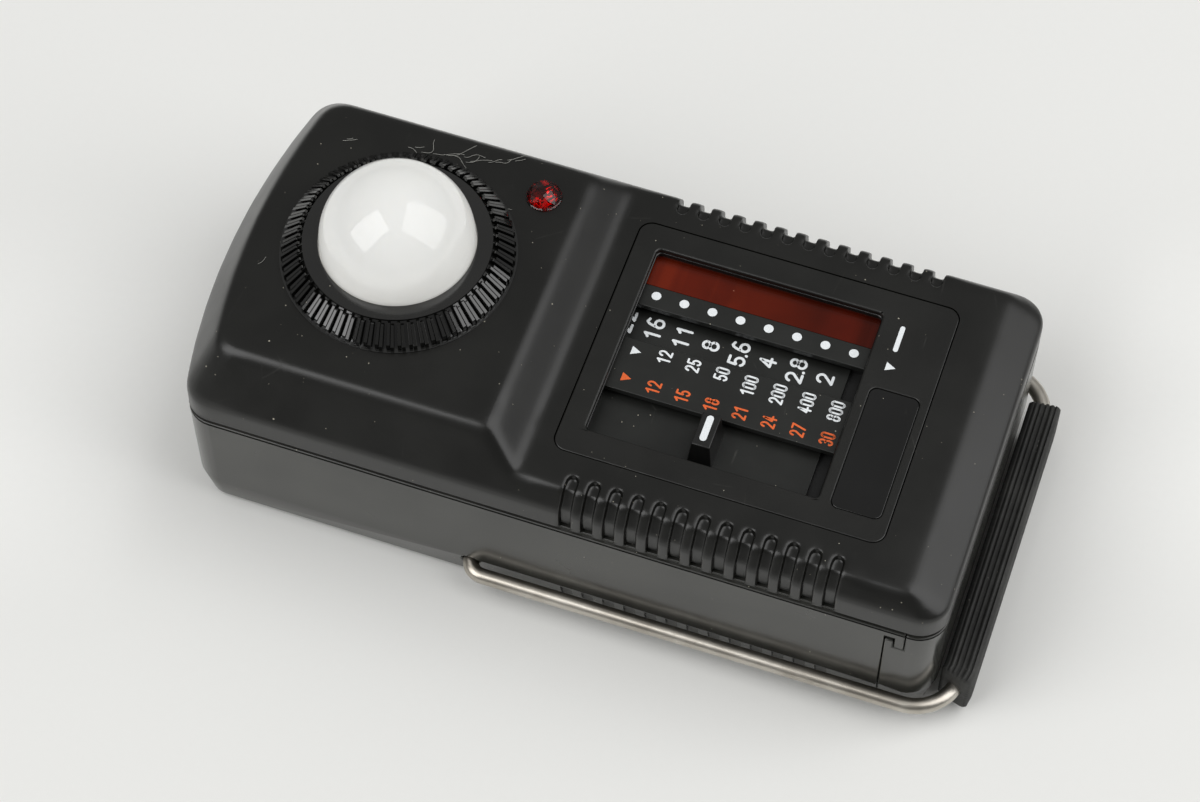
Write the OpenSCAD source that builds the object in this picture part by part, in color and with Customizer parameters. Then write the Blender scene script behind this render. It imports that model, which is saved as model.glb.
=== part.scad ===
// Flash meter: a hand-held incident light meter for electronic flash.
// It lies on its back. X runs along the case, from the dome towards the
// battery door, Y runs across it and Z is up. All sizes are in millimetres.

/* [Case] */
// Length of the moulded case
case_l = 120.4; // [112:0.2:130]
// Width of the moulded case
case_w = 58; // [56:0.5:66]
// Height of the seam between the two half shells
seam_z = 24.75; // [24:0.25:27]
// Gap that shows as the dark seam line
seam_gap = 0.8; // [0.6:0.1:0.9]
// Height at which the upright lip turns into the side slope
lip_z = 29.6; // [29.4:0.1:30.4]
// Height of the flat top around the scales
body_z = 33; // [32.8:0.1:34]
// Height of the raised head that carries the dome
head_z = 38; // [37.5:0.1:39.5]
// Sideways run of the side slope for each millimetre of rise
side_run = 0.667; // [0.55:0.01:0.75]
// Sideways run of the slope at the dome end
dome_end_run = 0.595; // [0.5:0.01:0.7]
// Sideways run of the slope at the battery end
door_end_run = 1.65; // [1.4:0.05:1.8]
// Place along the case where the head's flat top ends
head_x = -10; // [-11:0.25:-9.5]
// Radius of the upright corners of the case
corner_r = 4.5; // [4:0.25:6]
// Radius of the bowed end beside the dome
bow_r = 108; // [90:2:160]
// Radius of the head's upright corners at its top
head_corner_r = 4.2; // [3:0.1:4.6]
// Radius of the soft edges along the top
edge_r = 1.6; // [1:0.1:2]
// Thickness of the moulded walls
wall = 2.4; // [2:0.1:2.6]
// Height of the tucked-in band along the bottom edge
tuck_h = 7.3; // [6:0.1:8]
// How far the bottom edge tucks in
tuck = 1.2; // [0.8:0.1:1.6]

/* [Grip grooves] */
// Number of grooves on each long side
groove_count = 13; // [9:1:13]
// Distance from one groove to the next
groove_pitch = 3.33; // [3:0.01:3.5]
// Width of one groove
groove_w = 1.7; // [1.4:0.05:2]
// Depth of a groove below the surface round it
groove_depth = 0.95; // [0.6:0.05:1.1]
// Middle of the row of grooves along the case
groove_mid_x = 23.3; // [22:0.1:24]
// Distance of the rounded groove ends from the middle plane
groove_end_y = 24.2; // [23.8:0.1:25]

/* [Window] */
// Left edge of the scale window
window_x0 = 2.1; // [1.5:0.1:2.5]
// Right edge of the scale window
window_x1 = 37.5; // [37:0.1:38.2]
// Near edge of the scale window
window_y0 = -16.3; // [-16.8:0.1:-15.8]
// Far edge of the scale window
window_y1 = 17; // [16.6:0.1:17.4]
// Left edge of the bezel round the window
bezel_x0 = -1.75; // [-2:0.05:-1.5]
// Right edge of the bezel
bezel_x1 = 48.5; // [48:0.1:49]
// Near edge of the bezel
bezel_y0 = -20.8; // [-21.2:0.1:-20.4]
// Far edge of the bezel
bezel_y1 = 21.3; // [20.8:0.1:21.6]
// Thickness of the bezel, which lies flush in the case
bezel_t = 1.7; // [1.4:0.1:1.9]
// Corner radius of the bezel
bezel_r = 2.2; // [1.5:0.1:3]
// Thickness of the strips that lie under the bezel
strip_t = 1; // [0.7:0.1:1.1]
// Distance between two result dots, one lens stop
stop_pitch = 4.4; // [4.2:0.02:4.44]
// Place of the first result dot along the case
first_dot_x = 4.28; // [4.1:0.02:4.5]
// Far edge of the dot strip, where the red filter begins
dots_y1 = 11.55; // [11.3:0.05:11.8]
// Near edge of the dot strip
dots_y0 = 7.75; // [7.4:0.05:8]
// Far edge of the fixed film speed scale
speed_y1 = 1.7; // [1.4:0.05:2]
// Near edge of the fixed film speed scale
speed_y0 = -7.4; // [-7.6:0.05:-7]

/* [Slider] */
// Thickness of the sliding aperture plate
plate_t = 0.8; // [0.6:0.05:0.9]
// Height of the sliding plate's printed face
plate_z = 29.2; // [29:0.05:29.25]
// Left end of the plate at rest
plate_x0 = -15.5; // [-15.8:0.1:-15]
// Right end of the plate at rest
plate_x1 = 35.3; // [35:0.1:35.6]
// Place of the pointer at rest
pointer_x = 19; // [18.5:0.1:19.5]
// Length of the pointer knob's top across the case
pointer_l = 5.5; // [5:0.1:5.8]
// Width of the pointer knob's top
pointer_w = 2.8; // [2.4:0.1:3]
// How far the pointer knob stands above the bezel
pointer_rise = 1; // [0.4:0.1:1.4]

/* [Dome] */
// Place of the dome along the case
dome_x = -33; // [-34:0.25:-32.5]
// Place of the dome across the case
dome_y = 0.6; // [0:0.1:0.8]
// Radius of the white dome
dome_r = 11.6; // [11:0.1:11.9]
// Radius of the knurled ring at its foot
ring_r = 17.8; // [17.2:0.1:18]
// Radius of the knurled ring at its flat top
ring_top_r = 14.8; // [14.4:0.1:15.2]
// Height of the knurled ring
ring_h = 3.1; // [2.8:0.1:3.4]
// Number of teeth round the ring
tooth_count = 64; // [48:2:72]
// Radius of the ring's sleeve that goes down into the case
ring_sleeve_r = 13.2; // [13:0.05:13.4]

/* [Ready lamp] */
// Place of the ready lamp along the case
lamp_x = -16; // [-16.4:0.1:-15.6]
// Place of the ready lamp across the case
lamp_y = 17.1; // [16.8:0.1:17.4]
// Radius of the red jewel
jewel_r = 2.65; // [2.4:0.05:2.8]

/* [Stand] */
// Radius of the bent wire
wire_r = 1.2; // [1:0.05:1.25]
// Height of the stand's pivot and of the folded wire
pivot_z = 5.8; // [5.6:0.1:6]
// Place of the stand's pivot along the case
pivot_x = -12; // [-14:0.5:-10]
// Radius of the wire's bends beside the pivots, on its middle line
wire_turn_r = 2.6; // [2.2:0.1:2.8]
// Radius of the wire's two corners, on its middle line
wire_corner_r = 7; // [5:0.1:8]
// Gap between the folded wire and the case
wire_gap = 0.4; // [0.35:0.05:0.5]
// Thickness of the rubber sleeve along the case
sleeve_t = 5; // [4.4:0.1:5.4]
// Length of the rubber sleeve
sleeve_l = 50.6; // [46:0.2:51]
// How far the sleeve has slid along the bar from its middle
sleeve_slid = -0.9; // [-1.2:0.1:1.2]
// Height of the rubber sleeve
sleeve_h = 9; // [8:0.1:9.6]

/* [Battery] */
// Length of the block battery without its terminals
battery_l = 46; // [45:0.5:46.5]
// Width of the block battery
battery_w = 26.5; // [26:0.1:26.8]
// Thickness of the block battery
battery_t = 17.5; // [17:0.1:17.6]
// Length of the battery door along the case
door_l = 8.2; // [7.8:0.1:8.8]

/* [Measuring button] */
// Place of the button along the case
button_x = -30; // [-32:0.5:-28]
// Height of the button's middle
button_z = 13; // [12.5:0.25:13.5]
// Length of the button
button_l = 12; // [11:0.5:12.5]
// Height of the button
button_h = 6; // [5:0.25:6.5]
// How far the button stands out of the case
button_rise = 1.3; // [1.1:0.1:1.5]

/* [Circuit board] */
// Thickness of the circuit board
board_t = 1.6; // [1.4:0.1:1.7]
// Height of the circuit board's upper face
board_z = 24; // [23.8:0.05:24.1]

/* [Hidden] */
$fn = 48;
HULL_FN = 32;
fit = 0.1;
seat = 0.3;
end_x = case_l / 2;
side_y = case_w / 2;
corner_y = side_y - corner_r;
bow_x = bow_r - end_x;
bow_turn = asin(corner_y / (bow_r - corner_r));
dome_corner_x = bow_x - (bow_r - corner_r) * cos(bow_turn);
door_x = end_x - door_l;
upper_z0 = seam_z + seam_gap / 2;
lower_z1 = seam_z - seam_gap / 2;
roof_z = head_z - wall;
ledge_z = body_z - bezel_t;
strip_z = ledge_z - strip_t;
frame_z = plate_z + seat;
tray_floor_z = plate_z - plate_t;
tray_floor_t = 1;
ring_z = head_z + 0.4;
dome_z = ring_z + ring_h + 0.5;
hole_r = ring_sleeve_r + seat;
lug_z1 = roof_z - seat;
lug_t = 1.2;
cell_r = 4.9;
wire_y = side_y + wire_gap + wire_r;
turn_y = wire_y - wire_turn_r;
bar_x = end_x + 0.5 + sleeve_t / 2;
frame_dx = ((bar_x + sleeve_t / 2) - end_x) / 2;
screw_x0 = -end_x + 9;
screw_x1 = door_x - 7;
screw_places = [[screw_x0, side_y - 9], [screw_x0, 9 - side_y],
    [screw_x1, side_y - 7.5], [screw_x1, 7.5 - side_y]];
screw_post_r = 2.6;
board_gap = 1.9;
screw_r = 1.2;
battery_end_gap = 2.6;
battery_x1 = end_x - wall - battery_end_gap;
battery_x0 = battery_x1 - battery_l;
terminal_h = 2.5;
bay_wall = 1.5;
bay_gap = 0.35;
bay_z0 = wall;
snap_t = 1.4;
hook_l = 1.5;
tab_l = 1.5;
tab_z0 = lower_z1 - 4.4;
hook_z = lower_z1 - 2.7;
slot_h = 1;
pointer_y1 = speed_y0 - 1.2;
label_gap = 1.9;
label_y0 = window_y0 - 0.5;
label_w = 7.5;
label_l = 21.1;
label_r = 1.2;
chip_l = 19.2;
chip_w = 6.4;
chip_t = 3.3;
chip_leg = 2.4;
pin_pitch = 2.54;
pin_w = 0.5;
chip_x = -34;
chip_y = -6;
chip_step = 22;
capacitor_r = 3.9;
capacitor_l = 12;
capacitor_x = -24;
capacitor_y = 6;
switch_depth = 10.6;
switch_t = 3.4;
tray_post_r = 1.8;

// Moves a piece from the case's own middle to the middle of the whole
// object, which the folded stand makes longer at one end.
module at_case() {
    translate([-frame_dx, 0, 0]) children();
}

// A flat rectangle with round corners between two opposite corners.
module round_rect(x0, y0, x1, y1, r) {
    translate([x0 + r, y0]) square([x1 - x0 - 2 * r, y1 - y0]);
    translate([x0, y0 + r]) square([x1 - x0, y1 - y0 - 2 * r]);
    for (x = [x0 + r, x1 - r], y = [y0 + r, y1 - r])
        translate([x, y]) circle(r);
}

// Distance from the middle plane of the side slope's surface at height z.
function slope_y(z) = side_y - (z - lip_z) * side_run;

// Middle of an edge ball that touches the side slope and the top.
function ball_y(top, t) =
    slope_y(top - t - edge_r) - (t + edge_r) * sqrt(1 + side_run * side_run);

// The same along the case, for an end slope with its own run.
function ball_x(top, t, run) =
    end_x - (top - t - edge_r - lip_z) * run
        - (t + edge_r) * sqrt(1 + run * run);

// Outline of the case as far as x1, with its bowed dome end, shrunk by d.
module bow_outline(d, x1) {
    r = bow_r - d;
    polygon(concat([for (k = [-4:4])
                        [bow_x - r * cos(bow_turn * k / 4),
                         -r * sin(bow_turn * k / 4)]],
                   [[dome_corner_x, d - side_y], [x1, d - side_y],
                    [x1, side_y - d], [dome_corner_x, side_y - d]]));
    for (sy = [-1, 1])
        translate([dome_corner_x, sy * corner_y])
            circle(r = max(0.1, corner_r - d));
}

// The whole outline of the case, shrunk by d.
module case_outline(d) {
    bow_outline(d, end_x - corner_r);
    translate([0, -corner_y]) square([end_x - d, 2 * corner_y]);
    for (sy = [-1, 1])
        translate([end_x - corner_r, sy * corner_y])
            circle(r = max(0.1, corner_r - d));
}

module edge_balls(xs, top, t) {
    for (x = xs, sy = [-1, 1])
        translate([x, sy * ball_y(top, t), top - t - edge_r])
            sphere(r = edge_r, $fn = HULL_FN);
}

// Edge balls round the head's two corners and along its bowed end.
module head_edge(t) {
    r = max(0.1, head_corner_r - edge_r - t);
    y = ball_y(head_z, t) - r;
    big = bow_r - end_x + ball_x(head_z, t, dome_end_run);
    turn = asin(y / (big - r));
    x = bow_x - (big - r) * cos(turn);
    translate([0, 0, head_z - t - edge_r]) {
        for (sy = [-1, 1], k = [0:4])
            translate([x + r * cos(90 + (90 - turn) * k / 4),
                       sy * (y + r * sin(90 + (90 - turn) * k / 4))])
                sphere(r = edge_r, $fn = HULL_FN);
        for (k = [-3:3])
            translate([bow_x - big * cos(turn * k / 4),
                       big * sin(turn * k / 4)])
                sphere(r = edge_r, $fn = HULL_FN);
    }
}

// The long low block of the case, shrunk by t for its inside.
module body_form(z0, t) {
    hull() {
        translate([0, 0, z0])
            linear_extrude(lip_z - z0 - t * 0.4)
                case_outline(t, $fn = HULL_FN);
        edge_balls([head_x - 38, ball_x(body_z, t, door_end_run)],
                   body_z, t);
    }
}

// The raised head with its slope down to the scales.
module head_form(z0, t) {
    foot_x = head_x + head_z - lip_z - t * 1.014;
    hull() {
        translate([0, 0, z0])
            linear_extrude(lip_z - z0 - t * 0.4)
                bow_outline(t, head_x, $fn = HULL_FN);
        head_edge(t);
        edge_balls([head_x - 0.414 * (edge_r + t)], head_z, t);
        for (sy = [-1, 1])
            translate([foot_x - 1, sy * (side_y - 1 - t), z0])
                cylinder(r = 1, h = lip_z - z0 - t * 0.4,
                         $fn = HULL_FN);
    }
}

// Outline of the grooved side, pushed in by the groove's depth.
module groove_floor_outline() {
    d = groove_depth;
    n = sqrt(1 + side_run * side_run);
    top = body_z - d;
    polygon([[0, upper_z0 - 2],
             [side_y - d, upper_z0 - 2],
             [side_y - d, lip_z + (1 - n) * d / side_run],
             [slope_y(top) - d * n, top],
             [0, top]]);
}

// The row of grooves that one long side loses.
module upper_grooves() {
    difference() {
        for (i = [0:groove_count - 1])
            translate([groove_mid_x
                       + (i - (groove_count - 1) / 2) * groove_pitch, 0, 0])
                groove_slot();
        rotate([90, 0, 90])
            translate([0, 0, -5])
                linear_extrude(70) groove_floor_outline();
    }
}

module groove_slot() {
    y = groove_end_y + groove_w / 2;
    translate([0, y, upper_z0 - 1]) cylinder(d = groove_w, h = 10);
    translate([-groove_w / 2, y, upper_z0 - 1])
        cube([groove_w, 8, 10]);
}

module window_opening(x0, x1, y0, y1, z0, h) {
    translate([0, 0, z0])
        linear_extrude(h) round_rect(x0, y0, x1, y1, 0.8);
}

module upper_case() {
    color([0.1, 0.1, 0.1]) at_case() {
        door_skirt();
        difference() {
            union() {
                body_form(upper_z0, 0);
                head_form(upper_z0, 0);
            }
            difference() {
                union() {
                    body_form(upper_z0 - 1, wall);
                    head_form(upper_z0 - 1, wall);
                }
                window_frame();
                screw_posts_upper();
            }
            bezel_pocket();
            for (sy = [0, 1])
                mirror([0, sy, 0]) upper_grooves();
            dome_opening();
            translate([lamp_x, lamp_y, roof_z - 1])
                cylinder(r = jewel_r + fit, h = wall + 2);
            for (p = screw_places)
                translate([p[0], p[1], board_z - 1])
                    cylinder(r = screw_r + 0.05, h = 6);
        }
    }
}

// Rim at the battery end that closes the seam behind the door.
module door_skirt() {
    d = wall + 0.2;
    intersection() {
        union() {
            rim_ring(upper_z0 - 1.8, 4, d, d + 1);
            rim_ring(upper_z0 + 0.2, 2, wall - 0.8, d + 1);
        }
        translate([door_x + 0.4, -side_y, 0])
            cube([door_l, case_w, head_z]);
    }
}

// The thick frame under the roof that the bezel lies in.
module window_frame() {
    translate([bezel_x0 - 2.2, bezel_y0 - 2.2, frame_z])
        cube([bezel_x1 - bezel_x0 + 4.4, bezel_y1 - bezel_y0 + 4.4, 10]);
}

module screw_posts_upper() {
    for (p = screw_places)
        translate([p[0], p[1], board_z])
            cylinder(r = screw_post_r, h = 20);
}

module bezel_pocket() {
    translate([0, 0, ledge_z])
        linear_extrude(5)
            round_rect(bezel_x0, bezel_y0, bezel_x1, bezel_y1, bezel_r);
    translate([window_x0 - 1.5 - fit, window_y0 - 0.4, strip_z])
        cube([window_x1 - window_x0 + 3 + 2 * fit,
              window_y1 - window_y0 + 1.2, strip_t + 1]);
    window_opening(window_x0 - 0.4, window_x1 + 0.4, window_y0 - 0.4,
                   window_y1 + 0.2, frame_z - 1, 6);
}

// The round opening with the three notches that let the lugs through.
module dome_opening() {
    translate([dome_x, dome_y, roof_z - 1]) {
        cylinder(r = hole_r, h = wall + 2);
        for (a = [60, 180, 300])
            rotate([0, 0, a + 45])
                translate([0, -3.2, 0])
                    cube([hole_r + 1.3, 6.4, wall + 2]);
    }
}

module lower_form(t) {
    hull() {
        translate([0, 0, tuck_h])
            linear_extrude(lower_z1 - tuck_h + (t > 0 ? 5 : 0))
                case_outline(t, $fn = HULL_FN);
        translate([0, 0, t])
            linear_extrude(2) case_outline(t + tuck + 1, $fn = HULL_FN);
        translate([0, 0, t + 1.2])
            linear_extrude(2) case_outline(t + tuck, $fn = HULL_FN);
    }
}

// Low rib on the lower shell's edge that shows inside the seam.
module seam_rib() {
    rim_ring(lower_z1 - 0.6, 0.6 + seam_gap - 0.2, 0.5, wall - 0.6);
}

// Rim that stands up inside the upper shell and lines the two halves up.
module tongue() {
    d = wall + fit;
    rim_ring(lower_z1 - 3, 3, wall - 0.8, d + 1);
    rim_ring(lower_z1 - 1, 2.6, d, d + 1);
}

// A ring that follows the case between two insets.
module rim_ring(z0, h, inset_0, inset_1) {
    translate([0, 0, z0])
        linear_extrude(h)
            difference() {
                case_outline(inset_0);
                case_outline(inset_1);
            }
}

module lower_grooves() {
    for (i = [0:groove_count - 1], sy = [-1, 1])
        translate([groove_mid_x
                   + (i - (groove_count - 1) / 2) * groove_pitch,
                   sy * side_y, -1])
            translate([-groove_w / 2, sy > 0 ? -1.3 : -1.7, 0])
                cube([groove_w, 3, tuck_h - 0.6 + 1]);
}

// Everything of the lower shell that belongs to the battery door.
module door_zone(gap) {
    g = gap;
    rotate([90, 0, 0])
        translate([0, 0, -side_y - 5])
            linear_extrude(2 * side_y + 10)
                polygon([[door_x + g, -5],
                         [door_x + g, hook_z],
                         [door_x + hook_l - g, hook_z],
                         [door_x + hook_l - g, tab_z0 - g],
                         [door_x + hook_l + tab_l + g, tab_z0 - g],
                         [door_x + hook_l + tab_l + g, lower_z1 + 3],
                         [end_x + 5, lower_z1 + 3],
                         [end_x + 5, -5]]);
}

// The dark slot above the door's hook.
module hook_slot() {
    translate([door_x, -side_y - 5, hook_z - 1])
        cube([hook_l, 2 * side_y + 10, slot_h + 1]);
}

module lower_case() {
    color([0.12, 0.12, 0.12]) at_case() {
        difference() {
            union() {
                difference() {
                    lower_form(0);
                    lower_form(wall);
                }
                seam_rib();
                intersection() {
                    tongue();
                    translate([-end_x, -side_y, 0])
                        cube([end_x + door_x, case_w, head_z]);
                }
                intersection() {
                    lower_form(0);
                    lower_inner();
                }
            }
            lower_grooves();
            door_zone(0);
            hook_slot();
            translate([button_x, side_y + 1, button_z])
                rotate([90, 0, 0])
                    linear_extrude(wall + 2)
                        round_rect(-button_l / 2 - 0.2,
                                   -button_h / 2 - 0.2,
                                   button_l / 2 + 0.2,
                                   button_h / 2 + 0.2, 1.7);
            for (sy = [-1, 1])
                translate([pivot_x, sy * (side_y + 1), pivot_z])
                    rotate([sy * 90, 0, 0])
                        cylinder(r = wire_r + 0.05, h = 6);
            for (sy = [-1, 1])
                translate([pivot_x, sy * (turn_y - 0.1), pivot_z])
                    rotate([-sy * 90, 0, 0])
                        cylinder(r1 = wire_r + 0.05, r2 = wire_r + 0.6,
                                 h = side_y - turn_y + 0.6);
            for (p = screw_places)
                translate([p[0], p[1], -1]) {
                    cylinder(r = screw_r + 0.15, h = 30);
                    cylinder(r = 2.3, h = 3);
                }
        }
    }
}

// Posts, battery bay, bearings and stops inside the lower shell.
module lower_inner() {
    y1 = battery_w / 2 + bay_gap;
    bay_x0 = battery_x0 - terminal_h - snap_t - bay_wall;
    for (p = screw_places)
        translate([p[0], p[1], wall - 1])
            cylinder(r = screw_post_r + 0.8,
                     h = board_z - board_t - wall + 1);
    for (sy = [-1, 1])
        translate([bay_x0, sy > 0 ? y1 : -y1 - bay_wall, wall - 1])
            cube([door_x - bay_x0, bay_wall, bay_z0 + battery_t - 1]);
    translate([bay_x0, -y1 - bay_wall, wall - 1])
        cube([bay_wall, 2 * (y1 + bay_wall), bay_z0 + battery_t - 1]);
    for (sy = [-1, 1])
        translate([door_x - 1.6, sy > 0 ? y1 : -side_y, wall - 1])
            cube([1.6, side_y - y1, hook_z - wall]);
    for (sy = [-1, 1])
        translate([pivot_x, sy * (side_y - 1), pivot_z])
            rotate([sy * 90, 0, 0]) cylinder(r = 2.8, h = 3.6);
    stand_stops();
    translate([button_x - 6, side_y - switch_depth - 1.8, wall - 1])
        cube([12, 1.8, button_z + 4 - wall + 1]);
}

// Two ribs that the bent tails of the stand meet at its limits.
module stand_stops() {
    y0 = side_y - 4.6 - 2 * wire_r - 0.3;
    for (sy = [0, 1])
        mirror([0, sy, 0]) {
            translate([pivot_x - 5.6, y0, wall - 1])
                cube([3.2, 3, pivot_z - wire_r - seat - wall + 1]);
            translate([pivot_x + 3.4, y0, wall - 1])
                cube([2, 3, pivot_z + 3.6 - wall + 1]);
        }
}

module battery_door() {
    color([0.12, 0.12, 0.12]) at_case()
        intersection() {
            union() {
                difference() {
                    lower_form(0);
                    lower_form(wall);
                }
                seam_rib();
            }
            difference() {
                door_zone(0.12);
                translate([0, -side_y - 5, lower_z1 + seam_gap - 0.2])
                    cube([case_l, case_w + 10, 10]);
            }
        }
}

module scale_bezel() {
    g = 0.15;
    color([0.1, 0.1, 0.1]) at_case()
        difference() {
            translate([0, 0, ledge_z])
                linear_extrude(bezel_t)
                    round_rect(bezel_x0 + g, bezel_y0 + g, bezel_x1 - g,
                               bezel_y1 - g, bezel_r - g);
            window_opening(window_x0, window_x1, window_y0, window_y1,
                           ledge_z - 1, 5);
            translate([0, 0, body_z - 0.6])
                linear_extrude(2) name_plate_outline(0.08);
        }
}

module name_plate_outline(g) {
    x0 = window_x1 + label_gap;
    round_rect(x0 - g, label_y0 - g, x0 + label_w + g,
               label_y0 + label_l + g, label_r);
}

module name_plate() {
    color([0.03, 0.03, 0.03]) at_case()
        translate([0, 0, body_z - 0.6])
            linear_extrude(0.5) name_plate_outline(0);
}

// A strip that lies in the case's ledge and passes across the window.
module window_strip(y0, y1) {
    translate([window_x0 - 1.5, y0, strip_z])
        cube([window_x1 - window_x0 + 3, y1 - y0, strip_t]);
}

module led_filter() {
    color([0.4, 0.06, 0.04]) at_case()
        window_strip(dots_y1, window_y1 + 0.7);
}

module dot_strip() {
    color([0.12, 0.12, 0.12]) at_case()
        window_strip(dots_y0, dots_y1);
}

module speed_scale() {
    color([0.12, 0.12, 0.12]) at_case()
        window_strip(speed_y0, speed_y1);
}

module f_scale_slider() {
    color([0.1, 0.1, 0.1]) at_case()
        difference() {
            translate([plate_x0, window_y0 + 0.6, plate_z - plate_t])
                cube([plate_x1 - plate_x0,
                      dots_y0 + 0.6 - window_y0 - 0.6, plate_t]);
            translate([pointer_x, pointer_y1 - pointer_l / 2,
                       plate_z - 2])
                cylinder(r = 0.95, h = 4);
        }
}

module pointer_knob() {
    top = body_z + pointer_rise;
    y0 = pointer_y1 - pointer_l;
    color([0.1, 0.1, 0.1]) at_case() {
        difference() {
            translate([pointer_x - pointer_w / 2 - 0.5, y0 - 0.4, plate_z])
                cube([pointer_w + 1, pointer_l + 0.6, top - plate_z]);
            for (sx = [-1, 1])
                translate([pointer_x + sx * (pointer_w / 2 + 0.5), y0 - 2,
                           plate_z])
                    rotate([0, sx * -6, 0])
                        translate([sx > 0 ? 0 : -3, 0, 0])
                            cube([3, 10, 12]);
            translate([pointer_x - 5, y0 - 0.4, plate_z])
                rotate([-4.8, 0, 0])
                    translate([0, -3, 0]) cube([10, 3, 12]);
        }
        translate([pointer_x, pointer_y1 - pointer_l / 2,
                   plate_z - plate_t])
            cylinder(r = 0.9, h = plate_t + 0.5);
    }
}

// The channel that guides the aperture plate below the window.
module slider_tray() {
    x0 = plate_x0 - 10.7;
    x1 = plate_x1 + 17.2;
    y0 = window_y0 + 0.6 - fit;
    y1 = dots_y0 + 0.6 + fit;
    z0 = tray_floor_z - tray_floor_t;
    color([0.07, 0.07, 0.07]) at_case()
        difference() {
            union() {
                translate([x0, y0 - 1.2, z0])
                    cube([x1 - x0, y1 - y0 + 2.4,
                          plate_z + 0.1 - z0]);
                for (x = [x0 + 3, x1 - 5.6], y = [y0 + 1.5, y1 - 1.5])
                    translate([x, y, board_z])
                        cylinder(r = tray_post_r, h = z0 - board_z + 0.5);
            }
            translate([x0 + 0.6, y0, tray_floor_z])
                cube([x1 - x0 - 1.2, y1 - y0, 5]);
            translate([0, -12, tray_floor_z - 0.6])
                cube([24, 4, 3]);
        }
}

// A bowed leaf that keeps the plate from sliding by itself.
module friction_spring() {
    color([0.75, 0.75, 0.72]) at_case()
        translate([0.4, -11.6, tray_floor_z - 0.56])
            difference() {
                cube([23.2, 3.2, 0.5]);
                translate([11.6, -1, 19.5 - 0.3 - 20])
                    rotate([-90, 0, 0]) cylinder(r = 0.9, h = 6);
            }
}

module diffuser_dome() {
    color([0.95, 0.95, 0.93]) at_case()
        translate([dome_x, dome_y, dome_z])
            rotate_extrude() dome_outline();
}

// Half of the dome's cross-section: thin wall, straight foot and flange.
module dome_outline() {
    foot = dome_z - ring_z - 0.9;
    t = 1.2;
    difference() {
        union() {
            circle(dome_r);
            translate([0, -foot]) square([dome_r, foot]);
            translate([0, -foot]) square([dome_r + 1, 1]);
        }
        translate([-50, -50]) square([50, 100]);
        difference() {
            circle(dome_r - t);
            translate([-50, -50]) square([100, 50]);
        }
        translate([-1, -foot - 1]) square([dome_r - t + 1, foot + 1.01]);
        translate([-50, -50 - foot]) square([100, 50]);
    }
}

function tooth_r(i) = ring_r - [0, 0.1, 0.9, 0.8][i % 4];

module tooth_outline() {
    n = tooth_count * 4;
    polygon([for (i = [0:n - 1])
        [tooth_r(i) * cos(360 * (i + (i % 4 == 1 ? 0.25 : 0)) / n),
         tooth_r(i) * sin(360 * (i + (i % 4 == 1 ? 0.25 : 0)) / n)]]);
}

module dome_ring() {
    step = ring_z + ring_h - 1.1 - ring_z;
    color([0.09, 0.09, 0.09]) at_case()
        translate([dome_x, dome_y, ring_z])
            difference() {
                union() {
                    translate([0, 0, 0.3])
                        linear_extrude(ring_h - 0.3,
                                       scale = ring_top_r / ring_r)
                            tooth_outline();
                    cylinder(r = ring_r - 0.2, h = 0.31, $fn = 96);
                    translate([0, 0, lug_z1 - lug_t - ring_z])
                        cylinder(r = ring_sleeve_r,
                                 h = ring_z - lug_z1 + lug_t + 0.2);
                    for (a = [60, 180, 300])
                        rotate([0, 0, a])
                            translate([ring_sleeve_r - 1, -2.8,
                                       lug_z1 - lug_t - ring_z])
                                cube([1.9, 5.6, lug_t]);
                }
                translate([0, 0, -20])
                    cylinder(r = dome_r + 1 + fit, h = 20 + step);
                cylinder(r = dome_r + fit, h = 20);
            }
}

module ready_lamp_lens() {
    color([0.7, 0.04, 0.04]) at_case()
        translate([lamp_x, lamp_y, 0]) {
            translate([0, 0, roof_z - 1.1])
                cylinder(r = jewel_r + 0.5, h = 1.1);
            translate([0, 0, roof_z - 0.2])
                cylinder(r = jewel_r, h = wall + 0.6);
            translate([0, 0, head_z + 0.3])
                cylinder(r1 = jewel_r, r2 = jewel_r * 0.82, h = 0.75,
                         $fn = 8);
            translate([0, 0, head_z + 1])
                rotate([0, 0, 22.5])
                    cylinder(r1 = jewel_r * 0.82, r2 = 0.8, h = 0.85,
                             $fn = 8);
        }
}

module ready_led() {
    top = roof_z - 1.4;
    color([0.8, 0.5, 0.45]) at_case()
        translate([lamp_x, lamp_y, 0]) {
            translate([0, 0, top - 1.5]) sphere(r = 1.5);
            translate([0, 0, top - 5]) cylinder(r = 1.5, h = 3.5);
            translate([0, 0, top - 5.6]) cylinder(r = 1.8, h = 0.8);
            for (sx = [-1, 1])
                translate([sx * 0.9, 0, board_z])
                    cylinder(r = 0.3, h = top - 5.3 - board_z);
        }
}

module result_led(i) {
    color([0.75, 0.15, 0.12]) at_case()
        translate([first_dot_x + (i - 1) * stop_pitch,
                   (dots_y1 + window_y1) / 2, board_z]) {
            cylinder(r = 1.8, h = 1);
            cylinder(r = 1.5, h = 4.2);
            translate([0, 0, 4.2]) sphere(r = 1.5);
        }
}

module circuit_board() {
    color([0.2, 0.32, 0.16]) at_case()
        difference() {
            translate([0, 0, board_z - board_t])
                linear_extrude(board_t)
                    intersection() {
                        case_outline(wall + board_gap);
                        translate([-end_x, -side_y])
                            square([end_x + door_x - 3, case_w]);
                    }
            for (p = screw_places)
                translate([p[0], p[1], board_z - 5])
                    cylinder(r = screw_r + 0.4, h = 10);
        }
}

module photocell() {
    color([0.2, 0.22, 0.3]) at_case()
        translate([dome_x, dome_y, roof_z - 1]) {
            cylinder(r = cell_r, h = 1.6);
            translate([0, 0, 1.6]) cylinder(r = cell_r - 0.8, h = 0.5);
        }
}

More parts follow.
